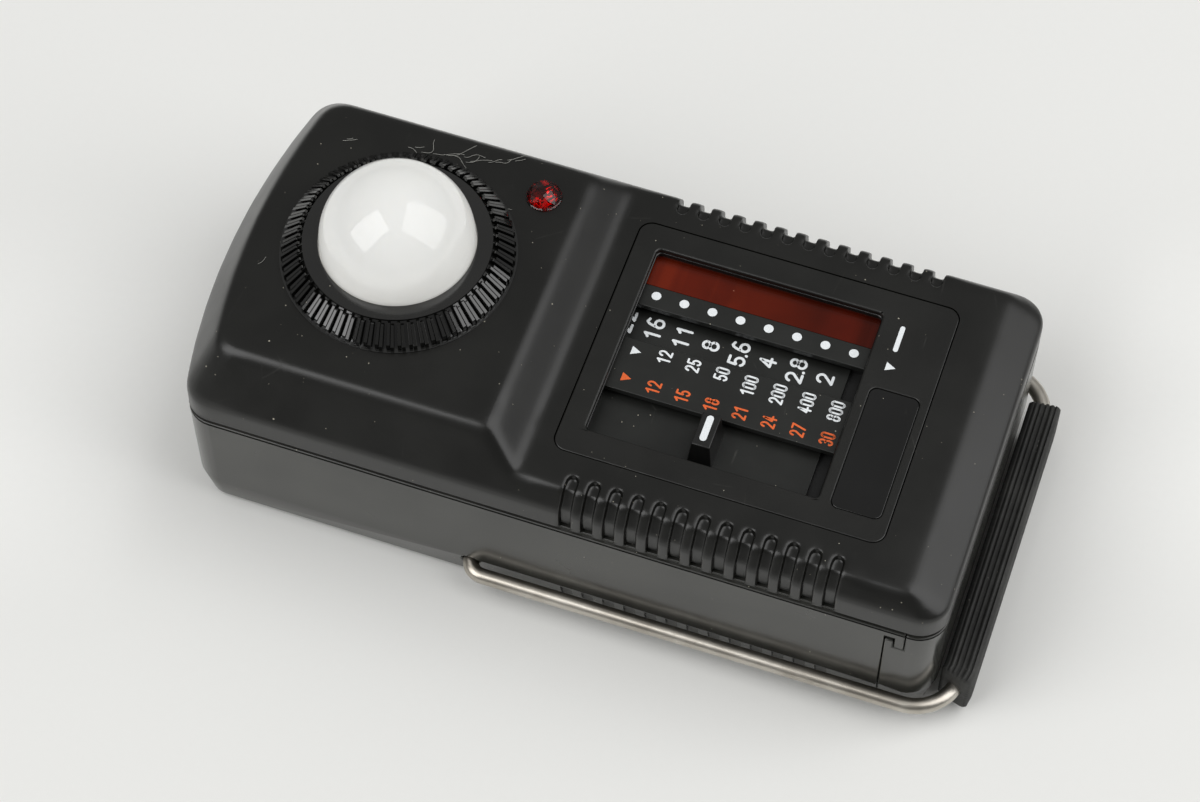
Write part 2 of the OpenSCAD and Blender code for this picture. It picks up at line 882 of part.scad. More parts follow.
module cell_holder() {
    color([0.08, 0.08, 0.08]) at_case()
        translate([dome_x, dome_y, board_z])
            difference() {
                cylinder(r = cell_r + 1, h = roof_z + 0.6 - board_z);
                translate([0, 0, roof_z - 1 - board_z])
                    cylinder(r = cell_r + 0.05, h = 10);
                translate([0, 0, -1]) cylinder(r = cell_r - 1, h = 20);
            }
}

// A 14-pin chip on the underside of the board.
module comparator_chip(i) {
    color([0.07, 0.07, 0.07]) at_case()
        translate([chip_x + (i - 1) * chip_step, chip_y,
                   board_z - board_t]) {
            translate([-chip_l / 2, -chip_w / 2, -chip_t - 0.5])
                cube([chip_l, chip_w, chip_t]);
            for (k = [-3:3], sy = [0, 1])
                mirror([0, sy, 0])
                    translate([k * pin_pitch - pin_w / 2, chip_w / 2 - 0.2,
                               -chip_leg]) {
                        cube([pin_w, 1.05, 0.4]);
                        translate([0, 0.55, 0])
                            cube([pin_w, 0.5, chip_leg]);
                    }
        }
}

module timing_capacitor() {
    r = capacitor_r;
    color([0.1, 0.2, 0.45]) at_case()
        translate([capacitor_x, capacitor_y, board_z - board_t - r])
            rotate([0, 90, 0]) cylinder(r = r, h = capacitor_l);
}

module battery() {
    z0 = wall + 0.1;
    color([0.25, 0.25, 0.28]) at_case()
        translate([battery_x0, 0, z0]) {
            rotate([90, 0, 90])
                linear_extrude(battery_l)
                    round_rect(-battery_w / 2, 0, battery_w / 2,
                               battery_t, 1.6);
            for (sy = [-1, 1])
                translate([-terminal_h + 0.02, sy * 6.35, battery_t / 2])
                    rotate([0, 90, 0])
                        cylinder(r = sy > 0 ? 3.4 : 2.8,
                                 h = terminal_h);
        }
}

module battery_snap() {
    x1 = battery_x0 - terminal_h;
    color([0.1, 0.1, 0.1]) at_case()
        translate([x1 - snap_t, -11, wall])
            cube([snap_t, 22, battery_t - 1]);
}

module measuring_button() {
    y1 = side_y + button_rise;
    y0 = side_y - wall - seat - 1.1;
    color([0.16, 0.16, 0.16]) at_case()
        translate([button_x, 0, button_z]) {
            translate([0, y1, 0])
                rotate([90, 0, 0])
                    linear_extrude(y1 - y0)
                        round_rect(-button_l / 2, -button_h / 2,
                                   button_l / 2, button_h / 2, 1.5);
            translate([-button_l / 2 - 1.2, y0, -button_h / 2 - 1.2])
                cube([button_l + 2.4, 1.1, button_h + 2.4]);
        }
}

module button_switch() {
    y0 = side_y - switch_depth;
    color([0.15, 0.15, 0.17]) at_case()
        translate([button_x, y0, button_z]) {
            translate([-4, 0, -3]) cube([8, switch_t, 6]);
            rotate([-90, 0, 0]) cylinder(r = 1, h = 5);
        }
}

module button_spring() {
    y0 = side_y - switch_depth + switch_t;
    y1 = side_y - wall - seat - 1.1;
    color([0.8, 0.8, 0.78]) at_case()
        translate([button_x, y0, button_z])
            rotate([-90, 0, 0])
                difference() {
                    cylinder(r = 2.2, h = y1 - y0);
                    translate([0, 0, -1]) cylinder(r = 1.6, h = 10);
                }
}

module case_screw(i) {
    p = screw_places[i - 1];
    color([0.6, 0.6, 0.6]) at_case()
        translate([p[0], p[1], 0])
            difference() {
                union() {
                    translate([0, 0, 0.3]) cylinder(r = 2.2, h = 1.7);
                    cylinder(r = screw_r, h = board_z + 4);
                }
                translate([-0.3, -1.6, -1]) cube([0.6, 3.2, 2]);
                translate([-1.6, -0.3, -1]) cube([3.2, 0.6, 2]);
                translate([0, 0, -1]) cylinder(r = 3, h = 1.3);
            }
}

module wire_rod(l) {
    cylinder(r = wire_r, h = l);
}

// A quarter bend of the wire, of middle radius r, thicker by g.
module wire_bend(r, g = 0) {
    rotate_extrude(angle = 90)
        translate([r, 0]) circle(wire_r + g);
}

// The cross bar with the bends at its two ends, thicker by g.
module wire_bar(g) {
    l = wire_y - wire_corner_r;
    for (sy = [0, 1])
        mirror([0, sy, 0])
            translate([bar_x - wire_corner_r, -l, pivot_z])
                rotate([0, 0, -90]) wire_bend(wire_corner_r, g);
    translate([bar_x, -l, pivot_z])
        rotate([-90, 0, 0])
            cylinder(r = wire_r + g, h = 2 * l);
}

// One leg with its pivot and inner tail, on the near side.
module wire_side() {
    b = wire_turn_r;
    tail_y = side_y - 4.6 - wire_r;
    translate([pivot_x, -turn_y, pivot_z])
        rotate([-90, 0, 0]) wire_rod(turn_y - tail_y);
    translate([pivot_x, -tail_y, pivot_z]) {
        sphere(r = wire_r);
        rotate([0, -90, 0]) wire_rod(4.4);
    }
    translate([pivot_x + b, -turn_y, pivot_z])
        rotate([0, 0, 180]) wire_bend(b);
    translate([pivot_x + b, -wire_y, pivot_z])
        rotate([0, 90, 0])
            wire_rod(bar_x - wire_corner_r - pivot_x - b);
}

module wire_stand() {
    color([0.75, 0.74, 0.72]) at_case() {
        for (sy = [0, 1])
            mirror([0, sy, 0]) wire_side();
        wire_bar(0);
    }
}

module sleeve_outline() {
    w = sleeve_t / 2;
    h = sleeve_h / 2;
    difference() {
        round_rect(-w, -h, w, h, 1.6);
        for (z = [-3:3])
            translate([w + 0.1, z * 1.15]) circle(r = 0.32, $fn = 16);
        for (x = [-1:1])
            translate([x * 1.15, h + 0.1]) circle(r = 0.32, $fn = 16);
    }
}

module stand_sleeve() {
    color([0.06, 0.06, 0.06]) at_case()
        difference() {
            translate([bar_x, sleeve_slid + sleeve_l / 2, pivot_z])
                rotate([90, 0, 0])
                    linear_extrude(sleeve_l) sleeve_outline();
            wire_bar(0.05);
        }
}

upper_case();
lower_case();
battery_door();
scale_bezel();
name_plate();
led_filter();
dot_strip();
speed_scale();
f_scale_slider();
pointer_knob();
slider_tray();
friction_spring();
diffuser_dome();
dome_ring();
ready_lamp_lens();
ready_led();
result_led(1);  // result_led_1
result_led(2);  // result_led_2
result_led(3);  // result_led_3
result_led(4);  // result_led_4
result_led(5);  // result_led_5
result_led(6);  // result_led_6
result_led(7);  // result_led_7
result_led(8);  // result_led_8
circuit_board();
photocell();
cell_holder();
comparator_chip(1);  // comparator_chip_1
comparator_chip(2);  // comparator_chip_2
timing_capacitor();
battery();
battery_snap();
measuring_button();
button_switch();
button_spring();
case_screw(1);  // case_screw_1
case_screw(2);  // case_screw_2
case_screw(3);  // case_screw_3
case_screw(4);  // case_screw_4
wire_stand();
stand_sleeve();
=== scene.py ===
"""Looks of the flash meter: finishes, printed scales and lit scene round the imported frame."""

from math import asin, copysign, cos, degrees, hypot, pi, radians, sin, tan

import bmesh
import bpy
import numpy as np
from mathutils import Euler, Matrix, Vector


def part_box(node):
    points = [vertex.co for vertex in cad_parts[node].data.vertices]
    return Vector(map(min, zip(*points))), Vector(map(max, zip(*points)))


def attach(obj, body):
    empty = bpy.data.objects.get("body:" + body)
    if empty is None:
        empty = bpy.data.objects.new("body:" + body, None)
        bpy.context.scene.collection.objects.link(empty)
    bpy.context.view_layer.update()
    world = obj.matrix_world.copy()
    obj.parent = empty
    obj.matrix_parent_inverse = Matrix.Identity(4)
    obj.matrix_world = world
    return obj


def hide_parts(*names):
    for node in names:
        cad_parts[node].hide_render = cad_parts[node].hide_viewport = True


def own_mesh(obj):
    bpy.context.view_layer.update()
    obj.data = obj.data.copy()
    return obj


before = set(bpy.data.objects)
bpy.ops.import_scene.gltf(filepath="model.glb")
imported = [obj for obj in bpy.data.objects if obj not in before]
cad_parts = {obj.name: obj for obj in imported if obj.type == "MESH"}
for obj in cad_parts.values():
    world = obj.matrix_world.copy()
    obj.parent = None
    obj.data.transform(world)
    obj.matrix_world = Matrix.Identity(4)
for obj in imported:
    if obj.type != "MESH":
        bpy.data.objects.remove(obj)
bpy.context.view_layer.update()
MM = 0.001

# The middle of the case along the frame's X, in millimetres
CASE_X = -2.75
# Places from the middle of the case, heights above the table and the wire's radius, in millimetres
DOME_AT = (-33.0, 0.6)
LAMP_AT = (-16.0, 17.1)
HEAD_TOP = 38.0
LIP_TOP = 29.6
LIP_FOOT = 25.15
SEAM = 24.35
WIRE_Z = 5.8
WIRE_R = 1.2


def case(x, y, z):
    """A point given from the middle of the case, in millimetres."""
    return Vector(((x + CASE_X) * MM, y * MM, z * MM))


def place(v):
    """The reverse of case: where a point of the frame lies on the case."""
    return Vector((v.x / MM - CASE_X, v.y / MM, v.z / MM))


def srgb(r, g, b):
    """Linear colour of a screen colour given from 0 to 255."""
    out = []
    for v in (r, g, b):
        c = v / 255
        out.append(c / 12.92 if c <= 0.04045 else ((c + 0.055) / 1.055) ** 2.4)
    return (*out, 1.0)


def toned(colour, factor):
    """A colour made lighter or darker."""
    return (*(c * factor for c in colour[:3]), 1.0)


def circle(count, first=0.0):
    """Angles spaced evenly round a circle."""
    return [2 * pi * (k + first) / count for k in range(count)]


def spoke(r, angle, z=0.0):
    """A point at a radius, an angle and a height."""
    return Vector((r * cos(angle), r * sin(angle), z))


# Node trees

class Sock:
    """A node socket that can be used in sums."""

    def __init__(self, tree, socket):
        self.tree = tree
        self.socket = socket

    def _math(self, op, a, b=0.0, clamp=False):
        return self.tree.node("ShaderNodeMath", {"operation": op, "use_clamp": clamp}, {0: a, 1: b})

    def __add__(self, o):
        return self._math("ADD", self, o)

    def __mul__(self, o):
        return self._math("MULTIPLY", self, o)

    def __sub__(self, o):
        return self._math("SUBTRACT", self, o)

    def __rsub__(self, o):
        return self._math("SUBTRACT", o, self)

    def __truediv__(self, o):
        return self._math("DIVIDE", self, o)

    def __rtruediv__(self, o):
        return self._math("DIVIDE", o, self)

    def __lt__(self, o):
        return self._math("LESS_THAN", self, o)

    def __gt__(self, o):
        return self._math("GREATER_THAN", self, o)

    __radd__ = __add__
    __rmul__ = __mul__

    def high(self, o):
        return self._math("MAXIMUM", self, o)

    def size(self):
        return self._math("ABSOLUTE", self)

    def clip(self):
        return self._math("ADD", self, 0.0, True)

    def out(self, key):
        """Another output of the same node."""
        return Sock(self.tree, self.socket.node.outputs[key])


class Tree:
    """A node tree, built node by node."""

    def __init__(self, tree):
        self.nodes = tree.nodes
        self.links = tree.links
        self.nodes.clear()

    def node(self, kind, settings=None, values=None, out=0):
        """Adds a node, sets it up and gives one of its outputs, if it has any."""
        n = self.nodes.new(kind)
        for key, value in (settings or {}).items():
            setattr(n, key, value)
        for key, value in (values or {}).items():
            if isinstance(value, Sock):
                self.links.new(value.socket, n.inputs[key])
            else:
                n.inputs[key].default_value = value
        return Sock(self, n.outputs[out]) if len(n.outputs) else None

    def mix(self, factor, a, b, blend="MIX"):
        return self.node("ShaderNodeMix", {"data_type": "RGBA", "blend_type": blend},
                         {0: factor, 6: a, 7: b}, 2)


class Finish(Tree):
    """One material. Its patterns lie on the object in millimetres."""

    def __init__(self, name):
        self.mat = bpy.data.materials.new(name)
        self.mat.use_nodes = True
        super().__init__(self.mat.node_tree)

    def spot(self, scale=(1, 1, 1), shift=0.0):
        """Place on the object, stretched by scale."""
        base = self.node("ShaderNodeTexCoord", out="Object")
        return self.node("ShaderNodeMapping", {"vector_type": "POINT"},
                         {"Vector": base, "Scale": [1000 * s for s in scale],
                          "Location": (shift, shift, shift)})

    def axes(self):
        x = self.node("ShaderNodeSeparateXYZ", values={0: self.spot()})
        return x, x.out(1), x.out(2)

    def noise(self, per_mm, detail=2.0, rough=0.5, scale=(1, 1, 1), seed=0.0):
        return self.node("ShaderNodeTexNoise", {"noise_dimensions": "3D"},
                         {"Vector": self.spot(scale, seed), "Scale": per_mm,
                          "Detail": detail, "Roughness": rough})

    def cells(self, per_mm, feature="F1", out="Distance", scale=(1, 1, 1), seed=0.0):
        return self.node("ShaderNodeTexVoronoi", {"feature": feature},
                         {"Vector": self.spot(scale, seed), "Scale": per_mm}, out)

    def steps(self, value, low, high, a=0.0, b=1.0, kind="SMOOTHSTEP"):
        """A value that goes from a to b while another goes from low to high."""
        return self.node("ShaderNodeMapRange", {"interpolation_type": kind},
                         {"Value": value, "From Min": low, "From Max": high,
                          "To Min": a, "To Max": b})

    def bump(self, height, reach_mm, strength=1.0):
        return self.node("ShaderNodeBump", values={"Height": height, "Distance": reach_mm * MM,
                                                   "Strength": strength})

    def split(self, colour):
        return self.node("ShaderNodeSeparateColor", values={0: colour})

    def done(self, values):
        shader = self.node("ShaderNodeBsdfPrincipled", values=values)
        self.node("ShaderNodeOutputMaterial", values={"Surface": shader})
        return self.mat


class Layout(Tree):
    """A Geometry Nodes tree with named inputs."""

    def __init__(self, name, inputs):
        self.group = bpy.data.node_groups.new(name, "GeometryNodeTree")
        super().__init__(self.group)
        sockets = self.group.interface
        for way in ("INPUT", "OUTPUT"):
            sockets.new_socket("Geometry", in_out=way, socket_type="NodeSocketGeometry")
        self.keys = {}
        for label, kind in inputs.items():
            made = sockets.new_socket(label, in_out="INPUT", socket_type=kind)
            self.keys[label] = made.identifier
        self.given = self.node("NodeGroupInput")


# Finishes

# The near-black used for painted shade.
SHADE = srgb(6, 6, 6)


def dust_mask(f, per_mm, share, size, seed):
    """Sparse small specks: one cell in many holds a dot."""
    near = f.cells(per_mm, seed=seed)
    pick = f.split(f.cells(per_mm, out="Color", seed=seed))
    dot = near < (pick.out(1) * size + size * 0.35)
    return dot * (pick < share)


def moulded(name, colour, rough, grain, dust, worn, gloss=0.5, shade=None):
    """Moulded black plastic with its grain, dust, faint wear and handling marks.

    shade gives two heights between which a band of painted shade goes.
    """
    f = Finish(name)
    fine = f.noise(7.0, 3.0, 0.6)
    broad = f.noise(0.09, 3.0, 0.55, seed=4.0)
    specks = dust_mask(f, 0.6, dust, 0.07, 3.1).high(dust_mask(f, 1.1, dust, 0.075, 9.4))
    line = f.cells(0.11, "DISTANCE_TO_EDGE", scale=(1, 0.35, 1), seed=2.0)
    rub = (line < 0.004) * f.steps(f.noise(0.2, 2.0, seed=7.0), 0.55, 0.7)
    tone = f.steps(broad, 0.3, 0.75, 0.82, 1.25)
    grey = f.node("ShaderNodeCombineColor", values={0: tone, 1: tone, 2: tone})
    base = f.mix((fine * 0.5).clip(), colour, toned(colour, 1.5))
    base = f.mix(1.0, base, grey, "MULTIPLY")
    base = f.mix(rub * worn, base, srgb(96, 95, 90))
    base = f.mix(specks * f.steps(fine, 0.3, 0.7, 0.3, 0.85), base, srgb(196, 190, 172))
    seam_shade = 0.0
    # Painted shade: a near-black, dull band between the two heights, in the seam under the lip.
    if shade:
        low, high = shade
        z = f.axes()[2]
        seam_shade = f.steps(z, low - 0.03, low) * f.steps(z, high, high + 0.03, 1.0, 0.0)
        base = f.mix(seam_shade, base, SHADE)
    level = f.steps(broad, 0.25, 0.8, rough * 0.9, rough * 1.12)
    level = (level + specks * 0.3 + rub * 0.1 + seam_shade * 0.8).clip()
    height = fine * grain + specks * 0.8
    return f.done({"Base Color": base, "Roughness": level, "Metallic": seam_shade, "IOR": 1.5,
                   "Specular IOR Level": gloss, "Normal": f.bump(height, 0.02, 0.6)})


def drawn_steel():
    """Drawn stainless wire with fine lines along it, dull patches and a few nicks."""
    f = Finish("drawn stainless wire")
    lines = f.noise(3.0, 3.0, 0.6, (0.06, 1.6, 1.6))
    broad = f.noise(0.12, 3.0, 0.6, seed=3.0)
    nick = f.cells(0.5, seed=6.0) < 0.05
    x = f.axes()[0]
    rubbed = f.steps((x - 37.5).size(), 1.0, 5.0, 1.0, 0.0) * f.steps(lines, 0.42, 0.6)
    base = f.mix(f.steps(broad, 0.3, 0.7), srgb(176, 170, 160), srgb(206, 201, 192))
    base = f.mix((nick * 0.5 + rubbed * 0.25).clip(), base, srgb(112, 104, 96))
    level = (f.steps(broad, 0.3, 0.7, 0.27, 0.35) + lines * 0.06 + rubbed * 0.12).clip()
    return f.done({"Base Color": base, "Metallic": 1.0, "Roughness": level,
                   "Normal": f.bump(lines + nick * 0.5, 0.005, 0.4)})


def opal_plastic():
    """White light-gathering plastic, polished, with a painted glow that grows towards its foot."""
    f = Finish("opal white dome")
    broad = f.noise(0.08, 2.0, 0.5)
    z = f.axes()[2]
    specks = dust_mask(f, 0.5, 0.05, 0.05, 2.2)
    base = f.mix(f.steps(broad, 0.3, 0.7), srgb(228, 228, 225), srgb(232, 232, 228))
    base = f.mix(specks * 0.4, base, srgb(150, 146, 138))
    # Painted glow: emission that grows towards the dome's foot, standing in for light passing through the
    # plastic.
    painted_glow = f.mix(f.steps(z, 38.5, 51.0, 1.0, 0.0), (0.14, 0.14, 0.135, 1.0), (0.48, 0.47, 0.44, 1.0))
    return f.done({"Base Color": base, "Roughness": f.steps(broad, 0.3, 0.7, 0.02, 0.03),
                   "Subsurface Weight": 0.3, "Subsurface Scale": 0.004,
                   "Subsurface Radius": (1.0, 0.95, 0.85), "IOR": 1.49,
                   "Emission Color": painted_glow, "Emission Strength": 0.5})


def red_filter():
    """Deep red filter strip with faint upright streaks of what lies under it, and painted shade along its
    far edge.
    """
    f = Finish("deep red filter")
    streak = f.noise(0.3, 2.0, 0.5, (1.0, 0.05, 0.05))
    broad = f.noise(0.15, 2.0, 0.5, seed=2.0)
    x, y, _ = f.axes()
    base = f.mix(f.steps(x, 0.0, 34.0), srgb(104, 30, 10), srgb(62, 12, 2))
    base = f.mix(f.steps(streak, 0.4, 0.6) * 0.75, base, srgb(84, 20, 6))
    base = f.mix(f.steps(broad, 0.35, 0.75) * 0.3, base, srgb(50, 12, 4))
    # Painted shade along the far edge, under the window's rim.
    base = f.mix(f.steps(y, 15.0, 17.0) * 0.7, base, srgb(34, 8, 3))
    base = f.mix(dust_mask(f, 0.7, 0.12, 0.06, 5.0) * 0.6, base, srgb(190, 130, 104))
    return f.done({"Base Color": base, "Roughness": f.steps(broad, 0.3, 0.7, 0.08, 0.14),
                   "IOR": 1.49, "Specular IOR Level": 0.22,
                   "Normal": f.bump(f.noise(1.2, 2.0, seed=3.0), 0.01, 0.2)})


def jewel_red():
    """Clear red faceted plastic."""
    f = Finish("clear red jewel")
    cloud = f.steps(f.noise(0.9, 2.0, 0.5), 0.3, 0.7)
    base = f.mix(cloud, (0.8, 0.012, 0.006, 1.0), (0.5, 0.005, 0.003, 1.0))
    return f.done({"Base Color": base, "Roughness": 0.02, "Transmission Weight": 1.0, "IOR": 1.49})


def foil_red():
    """Pressed foil behind the jewel: painted glints in bright grains, many towards the near side, dark
    elsewhere.
    """
    f = Finish("pressed foil")
    y = f.axes()[1]
    chance = f.split(f.cells(1.9, out="Color", seed=3.0))
    # Painted glints: a grain is bright far more often on the near side than towards the back.
    lit = chance < f.steps(y, 15.2, 17.4, 0.85, 0.12)
    base = f.mix(lit, srgb(60, 6, 4), srgb(255, 96, 48))
    return f.done({"Base Color": base, "Metallic": 0.6, "Roughness": 0.25,
                   "Normal": f.bump(chance, 0.12, 0.8)})


def printed(name, colour, dark):
    """Screen printed ink, a little uneven."""
    f = Finish(name)
    grit = f.noise(5.0, 3.0, 0.6)
    base = f.mix(f.steps(grit, 0.35, 0.7), colour, dark)
    return f.done({"Base Color": base, "Roughness": f.steps(grit, 0.3, 0.7, 0.4, 0.55),
                   "Normal": f.bump(grit, 0.01, 0.3)})


def ribbed_rubber():
    """Black rubber, matt, with pale dust in its grooves."""
    f = Finish("ribbed black rubber")
    fine = f.noise(4.0, 3.0, 0.6)
    broad = f.noise(0.12, 3.0, 0.6, seed=2.0)
    specks = dust_mask(f, 1.1, 0.3, 0.11, 4.4)
    base = f.mix(f.steps(broad, 0.35, 0.75), srgb(38, 38, 37), srgb(56, 56, 54))
    base = f.mix(specks * 0.5, base, srgb(140, 138, 132))
    return f.done({"Base Color": base, "Roughness": f.steps(fine, 0.3, 0.7, 0.5, 0.68),
                   "Specular IOR Level": 0.4, "Normal": f.bump(fine + specks, 0.05, 0.7)})


def simple(name, colour, rough, metal=0.0, clear=0.0, gloss=0.5):
    """A plain finish with slight unevenness."""
    f = Finish(name)
    grit = f.noise(3.0, 3.0, 0.55)
    base = f.mix(f.steps(grit, 0.3, 0.7), colour, toned(colour, 0.85))
    return f.done({"Base Color": base, "Metallic": metal, "Coat Weight": clear,
                   "Specular IOR Level": gloss,
                   "Roughness": f.steps(grit, 0.3, 0.7, rough * 0.9, rough * 1.1),
                   "Normal": f.bump(grit, 0.02, 0.4)})


def board_lacquer():
    """Green lacquer with copper tracks showing through."""
    f = Finish("green circuit board")
    wave = f.node("ShaderNodeTexWave", {"bands_direction": "Y"},
                  {"Vector": f.spot(), "Scale": 0.16, "Distortion": 3.0, "Detail": 1.0})
    track = f.steps(wave.size(), 0.72, 0.78)
    base = f.mix(track, srgb(32, 78, 38), srgb(74, 116, 56))
    return f.done({"Base Color": base, "Roughness": 0.35, "Normal": f.bump(track, 0.03, 0.6)})


top_plastic = moulded("grained black top shell", srgb(14, 14, 12),
                      rough=0.31, grain=0.3, dust=0.15, worn=0.06)
# The band between these heights is painted shade under the seam.
side_plastic = moulded("satin black lower shell", srgb(50, 50, 47),
                       rough=0.17, grain=0.03, dust=0.14, worn=0.12, gloss=0.55,
                       shade=(23.86, 24.19))
bezel_plastic = moulded("coarse grained bezel", srgb(15, 15, 13),
                        rough=0.34, grain=0.9, dust=0.12, worn=0.1)
scale_plastic = moulded("printed scale black", srgb(23, 24, 22),
                        rough=0.4, grain=0.12, dust=0.10, worn=0.2)
ring_plastic = moulded("satin black ring", srgb(12, 12, 11),
                       rough=0.12, grain=0.02, dust=0.05, worn=0.05, gloss=0.9)
plate_plastic = moulded("polished bare plate", srgb(14, 14, 14),
                        rough=0.14, grain=0.02, dust=0.05, worn=0.1)
knob_plastic = moulded("pointer knob black", srgb(15, 15, 14),
                       rough=0.4, grain=0.2, dust=0.05, worn=0.3)
button_plastic = moulded("button cap black", srgb(36, 36, 35),
                         rough=0.35, grain=0.1, dust=0.05, worn=0.2)
lint_grey = simple("grey lint", srgb(172, 172, 166), 0.7)
dark_inside = simple("plain black inside", srgb(20, 20, 20), 0.6)
# Painted shade: near-black put on the ledge inside the seam and on the ring's floor between its teeth.
painted_shade_black = simple("painted shade black", SHADE, 0.6, gloss=0.08)
steel_wire = drawn_steel()
sleeve_rubber = ribbed_rubber()
opal = opal_plastic()
filter_red = red_filter()
ink_white = printed("white ink", srgb(240, 243, 245), srgb(224, 229, 232))
ink_orange = printed("orange ink", srgb(233, 106, 48), srgb(214, 92, 40))
spring_steel = simple("spring steel", srgb(190, 190, 186), 0.3, 1.0)
screw_steel = simple("plated screw", srgb(165, 165, 162), 0.35, 1.0)
lamp_red = simple("tinted lamp resin", srgb(170, 30, 24), 0.15, clear=0.5)
cell_dark = simple("dark cell", srgb(26, 32, 58), 0.12, clear=0.6)
chip_black = simple("chip package", srgb(32, 32, 33), 0.55)
sleeve_blue = simple("capacitor sleeve", srgb(24, 50, 120), 0.3, clear=0.3)
can_grey = simple("battery can", srgb(96, 98, 102), 0.35, 0.3, clear=0.3)
board_green = board_lacquer()
jewel_glass = jewel_red()
jewel_foil = foil_red()


# Making and softening pieces

def put(name, data):
    """A new object in the scene."""
    obj = bpy.data.objects.new(name, data)
    bpy.context.scene.collection.objects.link(obj)
    return obj


def add_piece(name, mesh, materials, body, stands_for=(), smooth=None):
    """Adds a finished mesh as a piece that rides on a body."""
    obj = put(name, mesh)
    mesh.materials.clear()
    for m in materials:
        mesh.materials.append(m)
    if smooth is not None:
        mesh.shade_smooth()
        mesh.set_sharp_from_angle(angle=radians(smooth))
    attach(obj, body)
    if stands_for:
        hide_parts(*stands_for)
    return obj


def as_mesh(bm, name, outwards=False):
    """The finished mesh, its faces turned outwards where asked. The working mesh goes."""
    if outwards:
        bmesh.ops.recalc_face_normals(bm, faces=bm.faces)
    mesh = bpy.data.meshes.new(name)
    bm.to_mesh(mesh)
    bm.free()
    return mesh


def baked(obj):
    """The mesh of an object with its modifiers applied. The object goes."""
    graph = bpy.context.evaluated_depsgraph_get()
    graph.update()
    mesh = bpy.data.meshes.new_from_object(obj.evaluated_get(graph), depsgraph=graph)
    bpy.data.objects.remove(obj)
    return mesh


def joined(name, meshes):
    """Several meshes as one."""
    bm = bmesh.new()
    for m in meshes:
        bm.from_mesh(m)
    return as_mesh(bm, name)


def wall(bm, rings):
    """Quads between each ring of points and the next. A ring of one point is a pole."""
    for a, b in zip(rings, rings[1:]):
        count = max(len(a), len(b))
        if count == 1:
            continue
        for k in range(count):
            n = (k + 1) % count
            if len(a) == 1:
                bm.faces.new((a[0], b[k], b[n]))
            elif len(b) == 1:
                bm.faces.new((a[k], b[0], a[n]))
            else:
                bm.faces.new((a[k], b[k], b[n], a[n]))


def lathe(profile, middle, turns):
    """A closed ring or cap turned from a profile of (radius, height) in millimetres."""
    bm = bmesh.new()
    rings = []
    for r, z in profile:
        angles = circle(turns) if r else [0.0]
        rings.append([bm.verts.new(middle + spoke(r, a, z) * MM) for a in angles])
    wall(bm, rings)
    return as_mesh(bm, "lathe", True)


def tube(points, radius, sides):
    """A round rod along a path of points in metres."""
    bm = bmesh.new()
    rings = []
    side = None
    for k, p in enumerate(points):
        d = (points[min(len(points) - 1, k + 1)] - points[max(0, k - 1)]).normalized()
        if side is None:
            side = d.cross(Vector((0, 0, 1)))
            if side.length < 1e-6:
                side = d.cross(Vector((1, 0, 0)))
        side = (side - d * side.dot(d)).normalized()
        other = d.cross(side)
        rings.append([bm.verts.new(p + (side * cos(t) + other * sin(t)) * radius)
                      for t in circle(sides)])
    wall(bm, rings)
    for ring in (rings[0], rings[-1]):
        bm.faces.new(ring)
    return as_mesh(bm, "tube", True)


def shell_copy(node):
    """A CAD node's mesh, merged and with its flat faces whole."""
    bm = bmesh.new()
    bm.from_mesh(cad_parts[node].data)
    bmesh.ops.remove_doubles(bm, verts=bm.verts, dist=2e-6)
    bmesh.ops.dissolve_limit(bm, angle_limit=radians(0.7), verts=bm.verts, edges=bm.edges)
    bmesh.ops.recalc_face_normals(bm, faces=bm.faces)
    return bm


WIDEST_ROUND = 1.5


def softened(node, rule):
    """A copy of a CAD node with rounded edges. rule gives each edge's radius in millimetres."""
    bm = shell_copy(node)
    weight = bm.edges.layers.float.new("bevel_weight_edge")
    for e in bm.edges:
        if len(e.link_faces) == 2 and degrees(e.calc_face_angle(0.0)) > 26.0:
            mid = place((e.verts[0].co + e.verts[1].co) / 2)
            e[weight] = rule(mid, e.is_convex) / WIDEST_ROUND
    mesh = as_mesh(bm, node + "_soft")
    mesh.shade_smooth()
    mesh.set_sharp_from_angle(angle=radians(38))
    obj = put("work_" + node, mesh)
    bevel = obj.modifiers.new("soft edges", "BEVEL")
    bevel.limit_method = "WEIGHT"
    bevel.width = WIDEST_ROUND * MM
    bevel.segments = 3
    bevel.offset_type = "OFFSET"
    bevel.use_clamp_overlap = False
    even = obj.modifiers.new("even shading", "WEIGHTED_NORMAL")
    even.mode = "FACE_AREA"
    even.keep_sharp = True
    return baked(obj)


# The upper shell, whose outside settles into soft moulded forms

# How far the film pulls, its coats, its solver's steps, and the lip's rounding and lift
REACH = 0.42
COATS = 2
SOLVER_STEPS = 26
LIP_ROUND = 0.5
LIP_RAISE = 0.24


